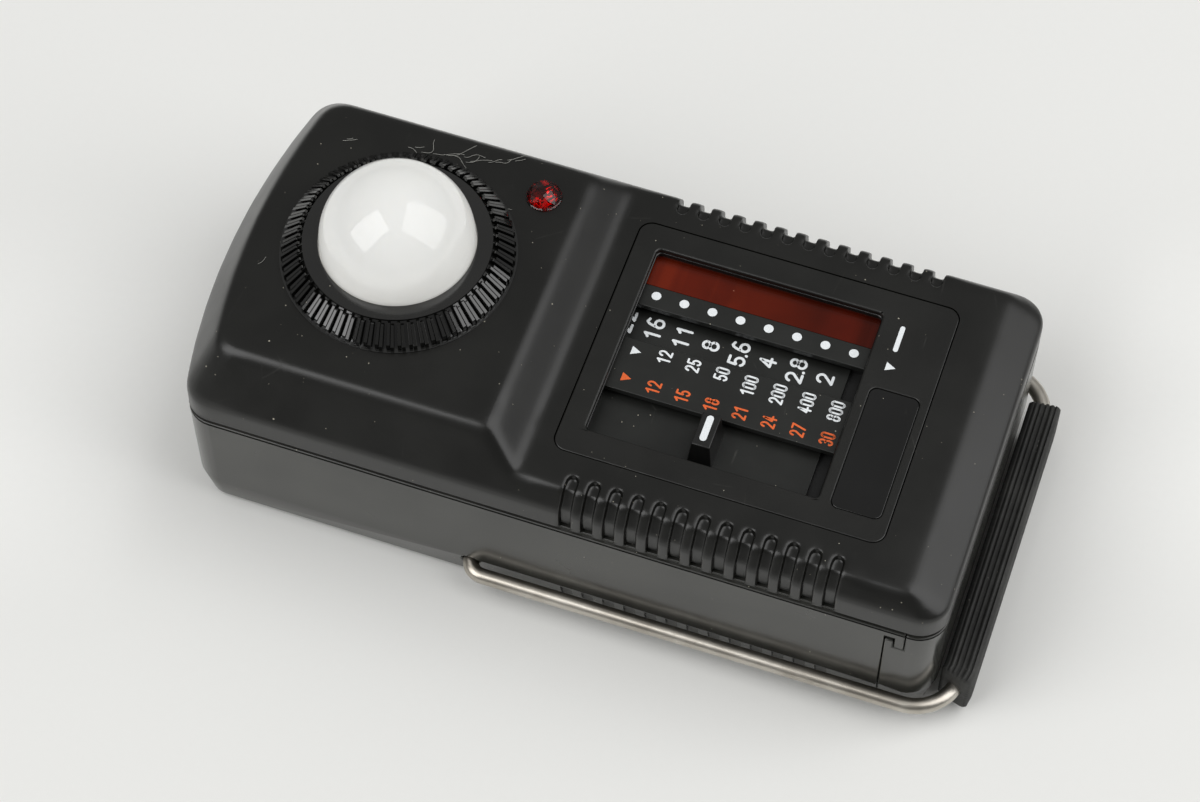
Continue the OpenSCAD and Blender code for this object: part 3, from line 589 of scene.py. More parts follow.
def settle(points, tris, free):
    """Lets a skin of triangles settle like a film of lacquer: corners turn into soft curves.

    Each coat is one implicit smoothing step, solved by conjugate gradients.
    """
    corners = tris.T
    count = len(points)
    for _ in range(COATS):
        mass = np.zeros(count)
        starts, ends, pulls = [], [], []
        for turn in range(3):
            a, b, c = corners[turn], corners[turn - 2], corners[turn - 1]
            u, v = points[a] - points[c], points[b] - points[c]
            span = np.linalg.norm(np.cross(u, v), axis=1) + 1e-9
            mass += np.bincount(c, span / 6, count)
            starts.append(a)
            ends.append(b)
            pulls.append(np.clip((u * v).sum(1) / span, 0.02, 8.0) / 2 * REACH ** 2)
        start, end = np.concatenate(starts + ends), np.concatenate(ends + starts)
        pull = np.concatenate(pulls + pulls)
        hold = (mass / np.maximum(free, 1e-4))[:, None]
        own = hold + np.bincount(start, pull, count)[:, None]

        def act(x):
            flow = pull[:, None] * (x[start] - x[end])
            return hold * x + np.stack([np.bincount(start, flow[:, k], count) for k in range(3)], 1)

        x = points.copy()
        rest = hold * points - act(x)
        ahead = rest / own
        step = ahead.copy()
        level = (rest * ahead).sum()
        for _ in range(SOLVER_STEPS):
            moved = act(step)
            size = level / max((step * moved).sum(), 1e-20)
            x += size * step
            rest -= size * moved
            ahead = rest / own
            fresh = (rest * ahead).sum()
            step = ahead + step * (fresh / max(level, 1e-20))
            level = fresh
        points = x
    return points


def on_skin(f):
    """True for the outer faces of the upper shell, grooves included."""
    c = place(f.calc_center_median())
    n = f.normal
    if c.z < LIP_FOOT + 0.05 or n.z < -0.2:
        return False
    if n.z > 0.12 and c.z > LIP_TOP - 0.3:
        return True
    if 2.2 < c.x < 44.4 and abs(c.y) > 23.3:
        return (abs(c.y) > 27.1 or c.z > 31.2) and n.y * c.y > -9.0
    rim = abs(c.y) > 26.0 or c.x < -52.0 or c.x > 52.0
    return rim and n.x * c.x + n.y * c.y > 0


def softness(p):
    """How far a point of the skin may settle: much on the head, little in the grooves."""
    if p.z < LIP_FOOT + 0.25 or -3.0 < p.x < 49.6 and abs(p.y) < 22.4:
        return 0.0
    if hypot(p.x - DOME_AT[0], p.y - DOME_AT[1]) < 18.6:
        return 0.0
    if hypot(p.x - LAMP_AT[0], p.y - LAMP_AT[1]) < 3.6:
        return 0.0
    past = max(1.0 - p.x, p.x - 45.5, 0.0)
    most = 1.0 if p.z > 31.0 else min(1.0, 0.2 + 0.16 * max(0.0, -47.0 - p.x))
    return min(most, 0.16 + 0.3 * past)


def cuts(*runs):
    """Cutting places from (first, last, step) runs."""
    return [v for low, high, step in runs for v in np.arange(low, high, step)]


SKIN_CUTS = (cuts((-60.0, -50.0, 0.6), (-50.0, -13.0, 3.0), (-13.0, -2.0, 0.6), (1.0, 45.0, 0.33),
                  (46.0, 60.0, 0.6)),
             cuts((-28.8, -23.2, 0.4), (-22.6, -18.0, 0.9), (-18.0, 18.0, 3.0), (18.0, 22.6, 0.9),
                  (23.2, 28.9, 0.4)),
             cuts((25.6, 37.9, 0.6)))


def moulded_skin(node):
    """The upper shell with soft moulded forms on its outside."""
    whole = shell_copy(node)
    lip = [e for e in whole.edges if all(abs(v.co.z / MM - LIP_TOP) < 0.04 for v in e.verts)
           and degrees(e.calc_face_angle(0.0)) > 20.0 and e.is_convex]
    bmesh.ops.bevel(whole, geom=lip, offset=LIP_ROUND * MM, segments=2, affect="EDGES", profile=0.5,
                    clamp_overlap=False)
    whole.normal_update()
    skin = whole.copy()
    bmesh.ops.delete(whole, geom=[f for f in whole.faces if on_skin(f)], context="FACES")
    bmesh.ops.delete(skin, geom=[f for f in skin.faces if not on_skin(f)], context="FACES")
    for axis, places in enumerate(SKIN_CUTS):
        normal = Vector([1.0 if i == axis else 0.0 for i in range(3)])
        for at in places:
            bmesh.ops.bisect_plane(skin, geom=skin.verts[:] + skin.edges[:] + skin.faces[:],
                                   plane_co=case(at, at, at), plane_no=normal, dist=1e-7)
    bmesh.ops.triangulate(skin, faces=skin.faces[:])
    points = np.array([tuple(place(v.co)) for v in skin.verts])
    skin.verts.index_update()
    tris = np.array([[v.index for v in f.verts] for f in skin.faces])
    free = np.array([0.0 if v.is_boundary else softness(place(v.co)) for v in skin.verts])
    for v, p in zip(skin.verts, settle(points, tris, free)):
        v.co = case(*p)
    for v in whole.verts[:] + skin.verts[:]:
        if abs(v.co.z / MM - LIP_FOOT) < 0.02:
            v.co.z += LIP_RAISE * MM
    return joined(node + "_soft", [as_mesh(whole, "inside"), as_mesh(skin, "outside")])


add_piece("upper_shell", moulded_skin("upper_case"), [top_plastic], "case",
          ["upper_case"], 50)


# The lower shell, the door and the small moulded pieces

def bottom_edges(p, convex):
    """Radii on the lower shell and the door: foot, tucked band, seams."""
    if not convex or abs(p.y) < 25.4 and -55.0 < p.x < 51.9:
        return 0.0
    if p.z < 0.05:
        return 0.7
    if abs(p.z - 1.2) < 0.12:
        return 0.4
    return 0.16 if p.z > SEAM - 0.15 else 0.2


def bezel_edges(p, convex):
    """Radii on the bezel: wide round the window, narrow elsewhere, none below."""
    if not convex or p.z < 32.9:
        return 0.0
    return 0.3 if 1.0 < p.x < 38.5 and -17.2 < p.y < 17.6 else 0.16


def even_edges(radius):
    """The same radius on every outer edge."""
    def rule(_, convex):
        return radius if convex else 0.0
    return rule


def shade_seam_ledge(mesh):
    """Gives the narrow ledge inside the seam the second material, painted shade."""
    for f in mesh.polygons:
        if f.normal.z > 0.9 and abs(f.center.z / MM - SEAM) < 0.03:
            f.material_index = 1
    return mesh


def eased(mesh):
    """Lifts the underside of a sliding piece by a hair, so that it doesn't rub on what carries it."""
    low = min(v.co.z for v in mesh.vertices)
    for v in mesh.vertices:
        if v.co.z < low + 0.01 * MM:
            v.co.z += 0.03 * MM
    return mesh


for name, node, body in (("lower_shell", "lower_case", "case"),
                         ("battery_hatch", "battery_door", "door")):
    add_piece(name, shade_seam_ledge(softened(node, bottom_edges)), [side_plastic, painted_shade_black], body,
              [node])

for name, node, rule, finish, body, slot in (
        ("window_bezel", "scale_bezel", bezel_edges, bezel_plastic, "case", "bezel_black"),
        ("bare_plate", "name_plate", even_edges(0.1), plate_plastic, "case", "plate_black"),
        ("pointer_cap", "pointer_knob", even_edges(0.16), knob_plastic, "f_scale", "bezel_black"),
        ("release_button", "measuring_button", even_edges(0.3), button_plastic, "button",
         "button_black"),
        ("dot_bar", "dot_strip", even_edges(0.12), scale_plastic, "case", "scale_black"),
        ("speed_bar", "speed_scale", even_edges(0.12), scale_plastic, "case", "scale_black"),
        ("aperture_plate", "f_scale_slider", even_edges(0.1), scale_plastic, "f_scale",
         "scale_black")):
    shape = softened(node, rule)
    add_piece(name, eased(shape) if body == "f_scale" else shape, [finish], body, [node])


# Figures on the scales

def bow(cx, cy, rx, ry, a0, a1, n=18):
    """Points along part of an oval, angles in degrees."""
    angles = [radians(a0 + (a1 - a0) * k / n) for k in range(n + 1)]
    return [(cx + rx * cos(a), cy + ry * sin(a)) for a in angles]


def figure(ch, w, t):
    """Strokes of one figure of height 1, width w and line width t, as point lists."""
    m = t / 2
    l, r, lo, hi = m, w - m, m, 1 - m
    cx = w / 2
    q = min((r - l) / 2, 0.32)
    h = hi - lo

    def top(share, first, last, narrow=1.0, n=18):
        return bow(cx, hi - h * share, q * narrow, h * share, first, last, n)

    def foot(share, first, last, n=18):
        return bow(cx, lo + h * share, q, h * share, first, last, n)

    end = q * 1.1
    waist = [(cx - 0.02, 0.535)]
    return {
        "0": [bow(cx, hi - end, q, end, 180, 0) + bow(cx, lo + end, q, end, 0, -180) + [(l, hi - end)]],
        "1": [[(cx - 0.14, hi - 0.2), (cx - 0.02, hi - 0.1), (cx + 0.06, hi), (cx + 0.06, lo)]],
        "2": [top(0.29, 172, -30) + [(l + 0.02, lo), (r, lo)]],
        "3": [top(0.245, 160, -75, 0.9) + waist, waist + foot(0.275, 75, -165)],
        "4": [[(r - 0.15, lo), (r - 0.15, hi)], [(r - 0.15, hi), (l, 0.25 + m), (r + 0.03, 0.25 + m)]],
        "5": [[(r - 0.03, hi), (l + 0.05, hi), (l + 0.02, 0.52)] + foot(0.295, 140, -155)],
        "6": [[(r - 0.06, hi)] + bow(cx + 0.05, lo + h * 0.375, q * 1.05, 0.62, 100, 172, 8),
              foot(0.285, 0, 360, 30)],
        "7": [[(l, hi), (r, hi), (cx - 0.08, lo)]],
        "8": [top(0.23, 0, 360, 0.88, 28), foot(0.27, 0, 360, 28)],
        ".": [[(m, m), (m + 0.02, m), (m + 0.02, m + 0.02)]]}[ch]


def ribbon(bm, points, half, to_place, lift=0.02):
    """A line of even width with round ends and corners, laid flat, each part a hair above the last."""
    pts = [Vector(p) for p in points]
    for k, (a, b) in enumerate(zip(pts, pts[1:])):
        d = (b - a).normalized()
        n = Vector((-d.y, d.x)) * half
        up = lift + 0.0004 * (k % 2)
        bm.faces.new([bm.verts.new(to_place(c.x, c.y, up)) for c in (a - n, b - n, b + n, a + n)])
    for k, p in enumerate(pts):
        if 0 < k < len(pts) - 1 and abs((p - pts[k - 1]).angle(pts[k + 1] - p, 0.0)) < 0.02:
            continue
        up = lift + 0.0009 + 0.0002 * (k % 3)
        bm.faces.new([bm.verts.new(to_place(p.x + half * cos(t), p.y + half * sin(t), up))
                      for t in circle(14)])


# A decimal point's width in line heights and its step in millimetres
POINT_WIDTH = 0.3
POINT_STEP = 0.36


def word(bm, text, x, y, z, height, width, line, advance, to_end=False):
    """A number that reads along +Y with its top towards -X, placed by its middle or its end."""
    starts = []
    at = 0.0
    for c in text:
        starts.append(at + 0.1 if c == "." else at)
        at += POINT_STEP if c == "." else advance
    total = at - (advance - width)
    first = -total if to_end else -total / 2
    for c, start in zip(text, starts):
        wide = POINT_WIDTH if c == "." else width / height
        left = (start + first) / height - (POINT_WIDTH / 2 if c == "." else 0.0)

        def to_place(u, v, up):
            return case(x - (v - 0.5) * height, y + (u + left) * height, z + up)

        for stroke in figure(c, wide, line / height):
            ribbon(bm, stroke, line / height / 2, to_place)


def word_row(bm, texts, x, pitch, **style):
    """A row of numbers along X."""
    for k, text in enumerate(texts):
        word(bm, text, x + pitch * k, **style)


def flat(bm, points, z):
    """One flat face through points of the case's plan."""
    bm.faces.new([bm.verts.new(case(x, y, z)) for x, y in points])


def flat_bar(bm, x, y0, y1, z, w):
    """A short bar along Y with round ends."""
    half = w / 2
    arc = [pi * k / 12 for k in range(13)]
    pts = [(x - half * cos(a), y0 + half - half * sin(a)) for a in arc]
    pts += [(x + half * cos(a), y1 - half + half * sin(a)) for a in arc]
    flat(bm, pts, z)


def flat_arrow(bm, x, y, z, size=1.5):
    """A small solid arrowhead that points along +X to its row."""
    flat(bm, [(x - size * 0.45, y - size * 0.5), (x + size * 0.55, y),
              (x - size * 0.45, y + size * 0.5)], z)


STRIP_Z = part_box("speed_scale")[1][2] / MM
PLATE_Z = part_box("f_scale_slider")[1][2] / MM
TOP_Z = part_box("scale_bezel")[1][2] / MM
KNOB_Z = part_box("pointer_knob")[1][2] / MM
# Height of the ink above the strips and above smooth plastic, and the steps of the rows
INK = 0.02
THIN_INK = 0.012
STOP_PITCH = 4.44
SPEED_PITCH = 4.437
DOT_PITCH = 4.4
DOT_RADIUS = 0.73


def draw_apertures(bm):
    """The aperture figures on the sliding plate."""
    word_row(bm, ("64", "45", "32", "22", "16", "11", "8", "5.6", "4", "2.8", "2"),
             5.45 - 4 * STOP_PITCH, STOP_PITCH, y=5.5, z=PLATE_Z,
             height=2.7, width=1.75, line=0.42, advance=2.17)


def draw_speeds(bm):
    """The film speeds in the white row, and the arrowhead before them."""
    word_row(bm, ("12", "25", "50", "100", "200", "400", "800"),
             8.86, SPEED_PITCH, y=1.2, z=STRIP_Z,
             height=2.15, width=1.04, line=0.31, advance=1.2, to_end=True)
    flat_arrow(bm, 4.5, -0.3, STRIP_Z + INK)


def draw_degrees(bm):
    """The film speeds in the orange row, and the arrowhead before them."""
    word_row(bm, ("12", "15", "18", "21", "24", "27", "30"),
             8.98, STOP_PITCH, y=-4.35, z=STRIP_Z,
             height=2.2, width=1.0, line=0.3, advance=1.17, to_end=True)
    flat_arrow(bm, 4.6, -5.1, STRIP_Z + INK)


def draw_dots(bm):
    """The row of result dots."""
    for k in range(8):
        middle = Vector((4.28 + DOT_PITCH * k, 9.9))
        flat(bm, [middle + spoke(DOT_RADIUS, a).xy for a in circle(32)], STRIP_Z + INK)


def draw_index(bm):
    """The bar and arrowhead on the bezel beside the aperture row."""
    flat_bar(bm, 40.87, 11.1, 15.75, TOP_Z + THIN_INK, 0.74)
    flat_arrow(bm, 41.0, 8.3, TOP_Z + THIN_INK)


def draw_pointer(bm):
    """The line on the pointer."""
    flat_bar(bm, 18.95, -13.2, -8.75, KNOB_Z + THIN_INK, 1.05)


for name, body, ink, draw in (("aperture_figures", "f_scale", ink_white, draw_apertures),
                              ("speed_figures", "case", ink_white, draw_speeds),
                              ("degree_figures", "case", ink_orange, draw_degrees),
                              ("result_dots", "case", ink_white, draw_dots),
                              ("index_bar", "case", ink_white, draw_index),
                              ("pointer_line", "f_scale", ink_white, draw_pointer)):
    sheet = bmesh.new()
    draw(sheet)
    for f in sheet.faces:
        f.normal_update()
        if f.normal.z < 0:
            f.normal_flip()
    add_piece(name, as_mesh(sheet, name), [ink], body)


# The dome and its knurled ring

DOME = case(*DOME_AT, 0.0)
DOME_R = 11.6
DOME_WALL = 1.2
DOME_MID = 42.0
DOME_FOOT = 38.6
FLANGE_R = 12.55
RIB_COUNT = 64
RIB_ROOT = 14.105


def dome_profile():
    """Outside of the white dome from its foot to its crown, then the inside back down."""
    quarter = [radians(90 * k / 24) for k in range(24)]
    out = [(FLANGE_R, DOME_FOOT), (FLANGE_R, 39.5), (DOME_R, 39.55), (DOME_R, 41.0),
           (DOME_R, DOME_MID)]
    out += [(DOME_R * cos(a), DOME_MID + DOME_R * sin(a)) for a in quarter[1:]]
    inner = DOME_R - DOME_WALL
    out += [(0.0, DOME_MID + DOME_R), (0.0, DOME_MID + inner)]
    out += [(inner * cos(a), DOME_MID + inner * sin(a)) for a in reversed(quarter)]
    return out + [(inner, DOME_FOOT), (FLANGE_R, DOME_FOOT)]


def ring_profile():
    """Section of the ring: bore, soft inner lip, flat top, floor between the teeth."""
    lip = [radians(180 - 18 * k) for k in range(1, 6)]
    return ([(11.75, 38.45), (11.75, 41.35)]
            + [(11.95 + 0.2 * cos(a), 41.45 + 0.05 * sin(a)) for a in lip]
            + [(12.5, 41.5), (13.3, 41.47), (14.1, 41.42), (14.12, 41.1), (16.6, 38.5),
               (17.0, 38.2), (17.72, 38.12), (17.72, 38.02), (11.75, 38.03)])


def rib_unit():
    """One tooth of the knurled cone about the ring's axis: two flat bars side by side."""
    bm = bmesh.new()
    tops = []
    for side, low, high in ((-0.285, 17.2, 14.72), (0.285, 17.42, 15.0)):
        rows = []
        for r, drop, w in ((low + 0.02, 0.95, 0.27), (low, 0.0, 0.26), (high, 0.0, 0.22),
                           (high - 0.3, 0.5, 0.22)):
            z = 41.38 - (r - 14.85) * 0.9 - drop
            rows.append([bm.verts.new(spoke(r, (side * r / 16.0 + s * w) / r, z) * MM)
                         for s in (-1, 1)])
        a, b, c, d = rows
        tops.append(bm.faces.new((b[0], b[1], c[1], c[0])))
        for u, v in ((a, b), (c, d), (d, a)):
            bm.faces.new((u[0], u[1], v[1], v[0]))
        for k in (0, 1):
            bm.faces.new((a[k], b[k], c[k], d[k]))
    bmesh.ops.recalc_face_normals(bm, faces=bm.faces)
    edges = [e for t in tops for e in t.edges]
    bmesh.ops.bevel(bm, geom=edges, offset=0.03 * MM, segments=1, affect="EDGES", profile=0.5)
    return as_mesh(bm, "rib")


def repeat_round(unit, middle, count, material):
    """Copies a mesh evenly round an upright axis and gives the plain mesh."""
    lay = Layout("round", {"Count": "NodeSocketInt", "Unit": "NodeSocketObject",
                           "Finish": "NodeSocketMaterial"})
    line = lay.node("GeometryNodeMeshLine", {"mode": "OFFSET"},
                    {"Count": lay.given.out("Count"), "Offset": (0, 0, 0)})
    info = lay.node("GeometryNodeObjectInfo", {"transform_space": "ORIGINAL"},
                    {"Object": lay.given.out("Unit")}, "Geometry")
    turn = lay.node("GeometryNodeInputIndex") / lay.given.out("Count") * (2 * pi)
    spin = lay.node("ShaderNodeCombineXYZ", values={"Z": turn})
    rotation = lay.node("FunctionNodeEulerToRotation", values={0: spin})
    copies = lay.node("GeometryNodeInstanceOnPoints",
                      values={"Points": line, "Instance": info, "Rotation": rotation})
    moved = lay.node("GeometryNodeTransform",
                     values={"Geometry": copies, "Translation": tuple(middle)})
    real = lay.node("GeometryNodeRealizeInstances", values={0: moved})
    cover = lay.node("GeometryNodeSetMaterial",
                     values={"Geometry": real, "Material": lay.given.out("Finish")})
    lay.node("NodeGroupOutput", values={0: cover})
    holder = put("work_holder", bpy.data.meshes.new("holder"))
    source = put("work_unit", unit)
    mod = holder.modifiers.new("round", "NODES")
    mod.node_group = lay.group
    mod[lay.keys["Count"]] = count
    mod[lay.keys["Unit"]] = source
    mod[lay.keys["Finish"]] = material
    mesh = baked(holder)
    bpy.data.objects.remove(source)
    return mesh


ring_body = lathe(ring_profile(), DOME, 192)
ring_mesh = joined("knurled_ring",
                   [ring_body, repeat_round(rib_unit(), DOME, RIB_COUNT, ring_plastic)])
# The floor between the teeth and the foot outside them get painted shade.
for f in ring_mesh.polygons:
    between = (f.center - DOME).xy.length > RIB_ROOT * MM and f.index < len(ring_body.polygons)
    f.material_index = 1 if between else 0
add_piece("knurled_ring", ring_mesh, [ring_plastic, painted_shade_black], "dome", ["dome_ring"],
          24)
add_piece("white_dome", lathe(dome_profile(), DOME, 128), [opal], "dome",
          ["diffuser_dome"], 40)


# The red jewel

def round_row(bm, count, r, z, turn=0.0, wobble=0.0):
    """A ring of points about the jewel's axis, each a little off its even place."""
    row = []
    for k, a in enumerate(circle(count, turn)):
        x, y, _ = spoke(r, a + wobble * sin(5.0 * k + r))
        up = 0.6 * wobble * cos(3.0 * k + r)
        row.append(bm.verts.new(case(LAMP_AT[0] + x, LAMP_AT[1] + y, z + up)))
    return row


def jewel_mesh():
    """A rose-cut crown of large facets over a short barrel with a thin foot ring."""
    bm = bmesh.new()
    rows = [round_row(bm, 24, r, z) for r, z in ((2.5, 36.2), (2.5, HEAD_TOP), (2.74, 38.03),
                                                 (2.74, 38.2), (2.56, 38.3))]
    wall(bm, rows)
    girdle = round_row(bm, 8, 2.56, 38.55, 0.3)
    waist = round_row(bm, 8, 2.02, 39.32, 0.8, 0.1)
    crown = round_row(bm, 4, 1.02, 39.78, 0.1, 0.12)
    top = bm.verts.new(case(LAMP_AT[0] + 0.2, LAMP_AT[1] - 0.1, 39.9))
    rim = rows[-1]
    for k in range(8):
        n = (k + 1) % 8
        bm.faces.new((girdle[k], girdle[n], waist[k]))
        bm.faces.new((waist[k], girdle[n], waist[n]))
        bm.faces.new((rim[3 * k], rim[3 * k + 1], girdle[k]))
        bm.faces.new((rim[3 * k + 1], rim[3 * k + 2], girdle[k]))
        bm.faces.new((rim[3 * k + 2], rim[(3 * k + 3) % 24], girdle[n], girdle[k]))
    for k in range(4):
        n = (k + 1) % 4
        bm.faces.new((waist[2 * k], waist[2 * k + 1], crown[k]))
        bm.faces.new((waist[2 * k + 1], waist[(2 * k + 2) % 8], crown[n]))
        bm.faces.new((waist[2 * k + 1], crown[n], crown[k]))
        bm.faces.new((crown[k], crown[n], top))
    bm.faces.new(rows[0])
    return as_mesh(bm, "jewel", True)


def foil_mesh():
    """A faceted cup behind the jewel that throws light back."""
    bm = bmesh.new()
    rim, waist, floor_row = (round_row(bm, 12, 2.36, 37.9), round_row(bm, 12, 1.5, 37.0, 0.5, 0.1),
                             round_row(bm, 12, 0.5, 36.5))
    for k in range(12):
        n = (k + 1) % 12
        bm.faces.new((rim[k], rim[n], waist[k]))
        bm.faces.new((rim[n], waist[n], waist[k]))
        bm.faces.new((waist[k], floor_row[n], floor_row[k]))
        bm.faces.new((waist[k], waist[n], floor_row[n]))
    bm.faces.new(floor_row)
    return as_mesh(bm, "foil")


add_piece("red_jewel", jewel_mesh(), [jewel_glass], "case", ["ready_lamp_lens"])
add_piece("jewel_foil", foil_mesh(), [jewel_foil], "case")


# The wire stand, its sleeve and the button's spring

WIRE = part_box("wire_stand")
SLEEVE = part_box("stand_sleeve")
# The wire's bent tail and legs, and the bend at each end of its bar
PIVOT_X = -12.0
TAIL = 4.4
TAIL_Y = 23.2
TOE_IN = 0.3
BEND_R = 7.0
BAR_HALF = 23.3


def rounded(points, radii, steps=16):
    """A path with its corners turned into arcs."""
    out = [points[0]]
    for before, p, after, radius in zip(points, points[1:], points[2:], radii):
        a, b = (before - p).normalized(), (after - p).normalized()
        half = a.angle(b) / 2
        start, end = (p + d * (radius / tan(half)) for d in (a, b))
        middle = p + (a + b).normalized() * (radius / sin(half))
        u, v = start - middle, end - middle
        total = u.angle(v)
        for i in range(steps + 1):
            t = total * i / steps
            out.append(middle + (u * sin(total - t) + v * sin(t)) / sin(total))
    return out + [points[-1]]


def wire_path():
    """The middle line of the bent wire from one inner tail to the other, legs a little toed in."""
    y_out = WIRE[1][1] / MM - WIRE_R
    x_bar = (SLEEVE[0][0] + SLEEVE[1][0]) / 2 / MM
    x_pivot = PIVOT_X + CASE_X
    half = [(x_pivot - TAIL, -TAIL_Y), (x_pivot, -TAIL_Y), (x_pivot, -y_out), (x_bar, -y_out + TOE_IN)]
    path = half + [(x, -y) for x, y in reversed(half)]
    radii = [r * MM for r in (1.25, 2.6, BEND_R, BEND_R, 2.6, 1.25)]
    return rounded([Vector((x, y, WIRE_Z)) * MM for x, y in path], radii)


def dense(points, step):
    """The same path with more points on its long runs."""
    out = [points[0]]
    for a, b in zip(points, points[1:]):
        n = max(1, int((b - a).length / step))
        out += [a + (b - a) * (k / n) for k in range(1, n + 1)]
    return out


add_piece("bent_wire", tube(dense(wire_path(), 4 * MM), WIRE_R * MM, 28), [steel_wire], "stand",
          ["wire_stand"], 60)


def bar_bow(y):
    """The wire's shift away from the straight bar at y in millimetres, and its turn there."""
    turn = asin(max(0.0, abs(y) - BAR_HALF) / BEND_R)
    return BEND_R * (1 - cos(turn)), copysign(turn, y)


def sleeve_section(w, h, corner=1.1, rib=0.8, deep=0.34):
    """The sleeve's ribbed section about its middle: grooves on both flanks and the top."""
    base = [Vector((sx * (w - corner), sz * (h - corner))) + spoke(corner, radians(a0 + 11.25 * k)).xy
            for sx, sz, a0 in ((1, 1, 0), (-1, 1, 90), (-1, -1, 180), (1, -1, 270)) for k in range(9)]
    section = []
    for p in dense(base + base[:1], 0.1)[:-1]:
        side_on = abs(p.x) > w - 0.4 and abs(p.y) < h - 0.7
        top_on = p.y > h - 0.4 and abs(p.x) < w - 0.5
        phase = ((p.y if side_on else p.x) / rib) % 1.0
        dip = deep * max(0.0, 1 - (min(phase, 1 - phase) / 0.27) ** 2)
        if side_on:
            p = Vector((p.x - copysign(dip, p.x), p.y))
        elif top_on:
            p = Vector((p.x, p.y - dip))
        section.append(p)
    return section


def sleeve_mesh():
    """The sleeve's section drawn along the bar and round the start of its bend."""
    (x0, y0, z0), (x1, y1, z1) = [[v / MM for v in corner] for corner in SLEEVE]
    cx, cz = (x0 + x1) / 2, (z0 + z1) / 2
    section = sleeve_section((x1 - x0) / 2, (z1 - z0) / 2)
    bm = bmesh.new()

    def laid(y, across, up):
        shift, turn = bar_bow(y)
        return bm.verts.new(Vector((cx - shift + across * cos(turn),
                                    y + across * sin(turn), up)) * MM)

    low, high = y0 + 0.8, y1 - 0.3
    run = high - low - 0.6
    places = [(low, 0.88), (low + 0.1, 0.95)]
    places += [(low + 0.3 + run * k / 40, 1.0) for k in range(41)]
    places += [(high - 0.1, 0.95), (high, 0.88)]
    rings = [[laid(y, q.x * s, cz + q.y * s) for q in section] for y, s in places]
    bore = WIRE_R + 0.02
    bores = [[laid(y, bore * cos(t), WIRE_Z + bore * sin(t)) for t in circle(24)]
             for y in (low, high)]
    wall(bm, rings)
    for ring, hole in ((rings[0], bores[0]), (rings[-1], bores[1])):
        edges = [bm.edges.get((a, b)) for a, b in zip(ring, ring[1:] + ring[:1])]
        edges += [bm.edges.new((a, b)) for a, b in zip(hole, hole[1:] + hole[:1])]
        bmesh.ops.triangle_fill(bm, use_beauty=True, edges=edges)
    wall(bm, bores)
    return as_mesh(bm, "sleeve", True)


add_piece("ribbed_sleeve", sleeve_mesh(), [sleeve_rubber], "stand", ["stand_sleeve"],
          45)

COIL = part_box("button_spring")
COIL_TURNS = 6
COIL_WIRE = 0.22
COIL_INSET = 0.25


def coil_path():
    """The middle line of the return spring, along Y."""
    low, high = COIL
    cx, cz = (low[0] + high[0]) / 2, (low[2] + high[2]) / 2
    r = (high[0] - low[0]) / 2 - COIL_INSET * MM
    length = high[1] - low[1] - 2 * COIL_INSET * MM
    count = COIL_TURNS * 20
    out = []
    for k in range(count + 1):
        x, z, _ = spoke(r, 2 * pi * k / 20)
        out.append(Vector((cx + x, low[1] + COIL_INSET * MM + length * k / count, cz + z)))
    return out


coil = add_piece("return_coil", tube(coil_path(), COIL_WIRE * MM, 10), [spring_steel], "case",
                 ["button_spring"], 60)
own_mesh(coil)


# The window's inner lip, and lint on the head

def hoop(points, radius, sides=8):
    """A closed bead along a flat loop of points in metres."""
    bm = bmesh.new()
    rings = []
    for k, p in enumerate(points):
        d = (points[(k + 1) % len(points)] - points[k - 1]).normalized()
        side = d.cross(Vector((0, 0, 1)))
        rings.append([bm.verts.new(p + (side * cos(t) + Vector((0, 0, sin(t)))) * radius)
                      for t in circle(sides)])
    wall(bm, rings + rings[:1])
    return as_mesh(bm, "hoop", True)


def window_loop(x0, x1, y0, y1, r, z):
    """A rounded rectangle of points in the case's place."""
    out = []
    for cx, cy, a0 in ((x1 - r, y1 - r, 0), (x0 + r, y1 - r, 90), (x0 + r, y0 + r, 180),
                       (x1 - r, y0 + r, 270)):
        for k in range(7):
            x, y, _ = spoke(r, radians(a0 + 15 * k))
            out.append(case(cx + x, cy + y, z))
    return out


add_piece("window_lip", hoop(window_loop(2.0, 37.6, -16.4, 17.1, 1.0, 31.95), 0.26 * MM),
          [plate_plastic], "case", (), 60)

# Where each fibre starts, its length, how much it curls and its heading in radians
LINT = ((-48.4, 16.7, 2.4, 0.04, 0.1), (-47.9, 17.2, 1.2, 0.05, -0.1),
        (-38.6, 18.8, 2.6, 0.05, 0.1), (-37.6, 19.2, 1.6, 0.06, -0.15), (-36.4, 18.6, 4.2, 0.04, 0.1),
        (-34.6, 18.9, 5.0, 0.04, 0.0), (-33.0, 19.3, 5.6, 0.03, 0.05), (-31.6, 19.6, 4.6, 0.05, -0.05),
        (-30.0, 19.9, 3.8, 0.06, -0.1), (-28.8, 19.4, 3.6, 0.05, 0.1), (-29.4, 19.1, 2.8, 0.07, 0.0),
        (-26.2, 20.1, 2.4, 0.06, 0.1), (-25.2, 20.5, 3.0, 0.05, 0.2), (-23.6, 21.4, 3.2, 0.05, 0.25),
        (-22.4, 21.6, 1.8, 0.06, 0.5), (-44.0, 13.3, 0.8, 0.1, 0.6), (-20.5, 13.0, 0.8, 0.1, 0.3),
        (-52.0, -8.4, 2.0, 0.04, 0.8))
LINT_STEP = 0.16
LINT_R = 0.028


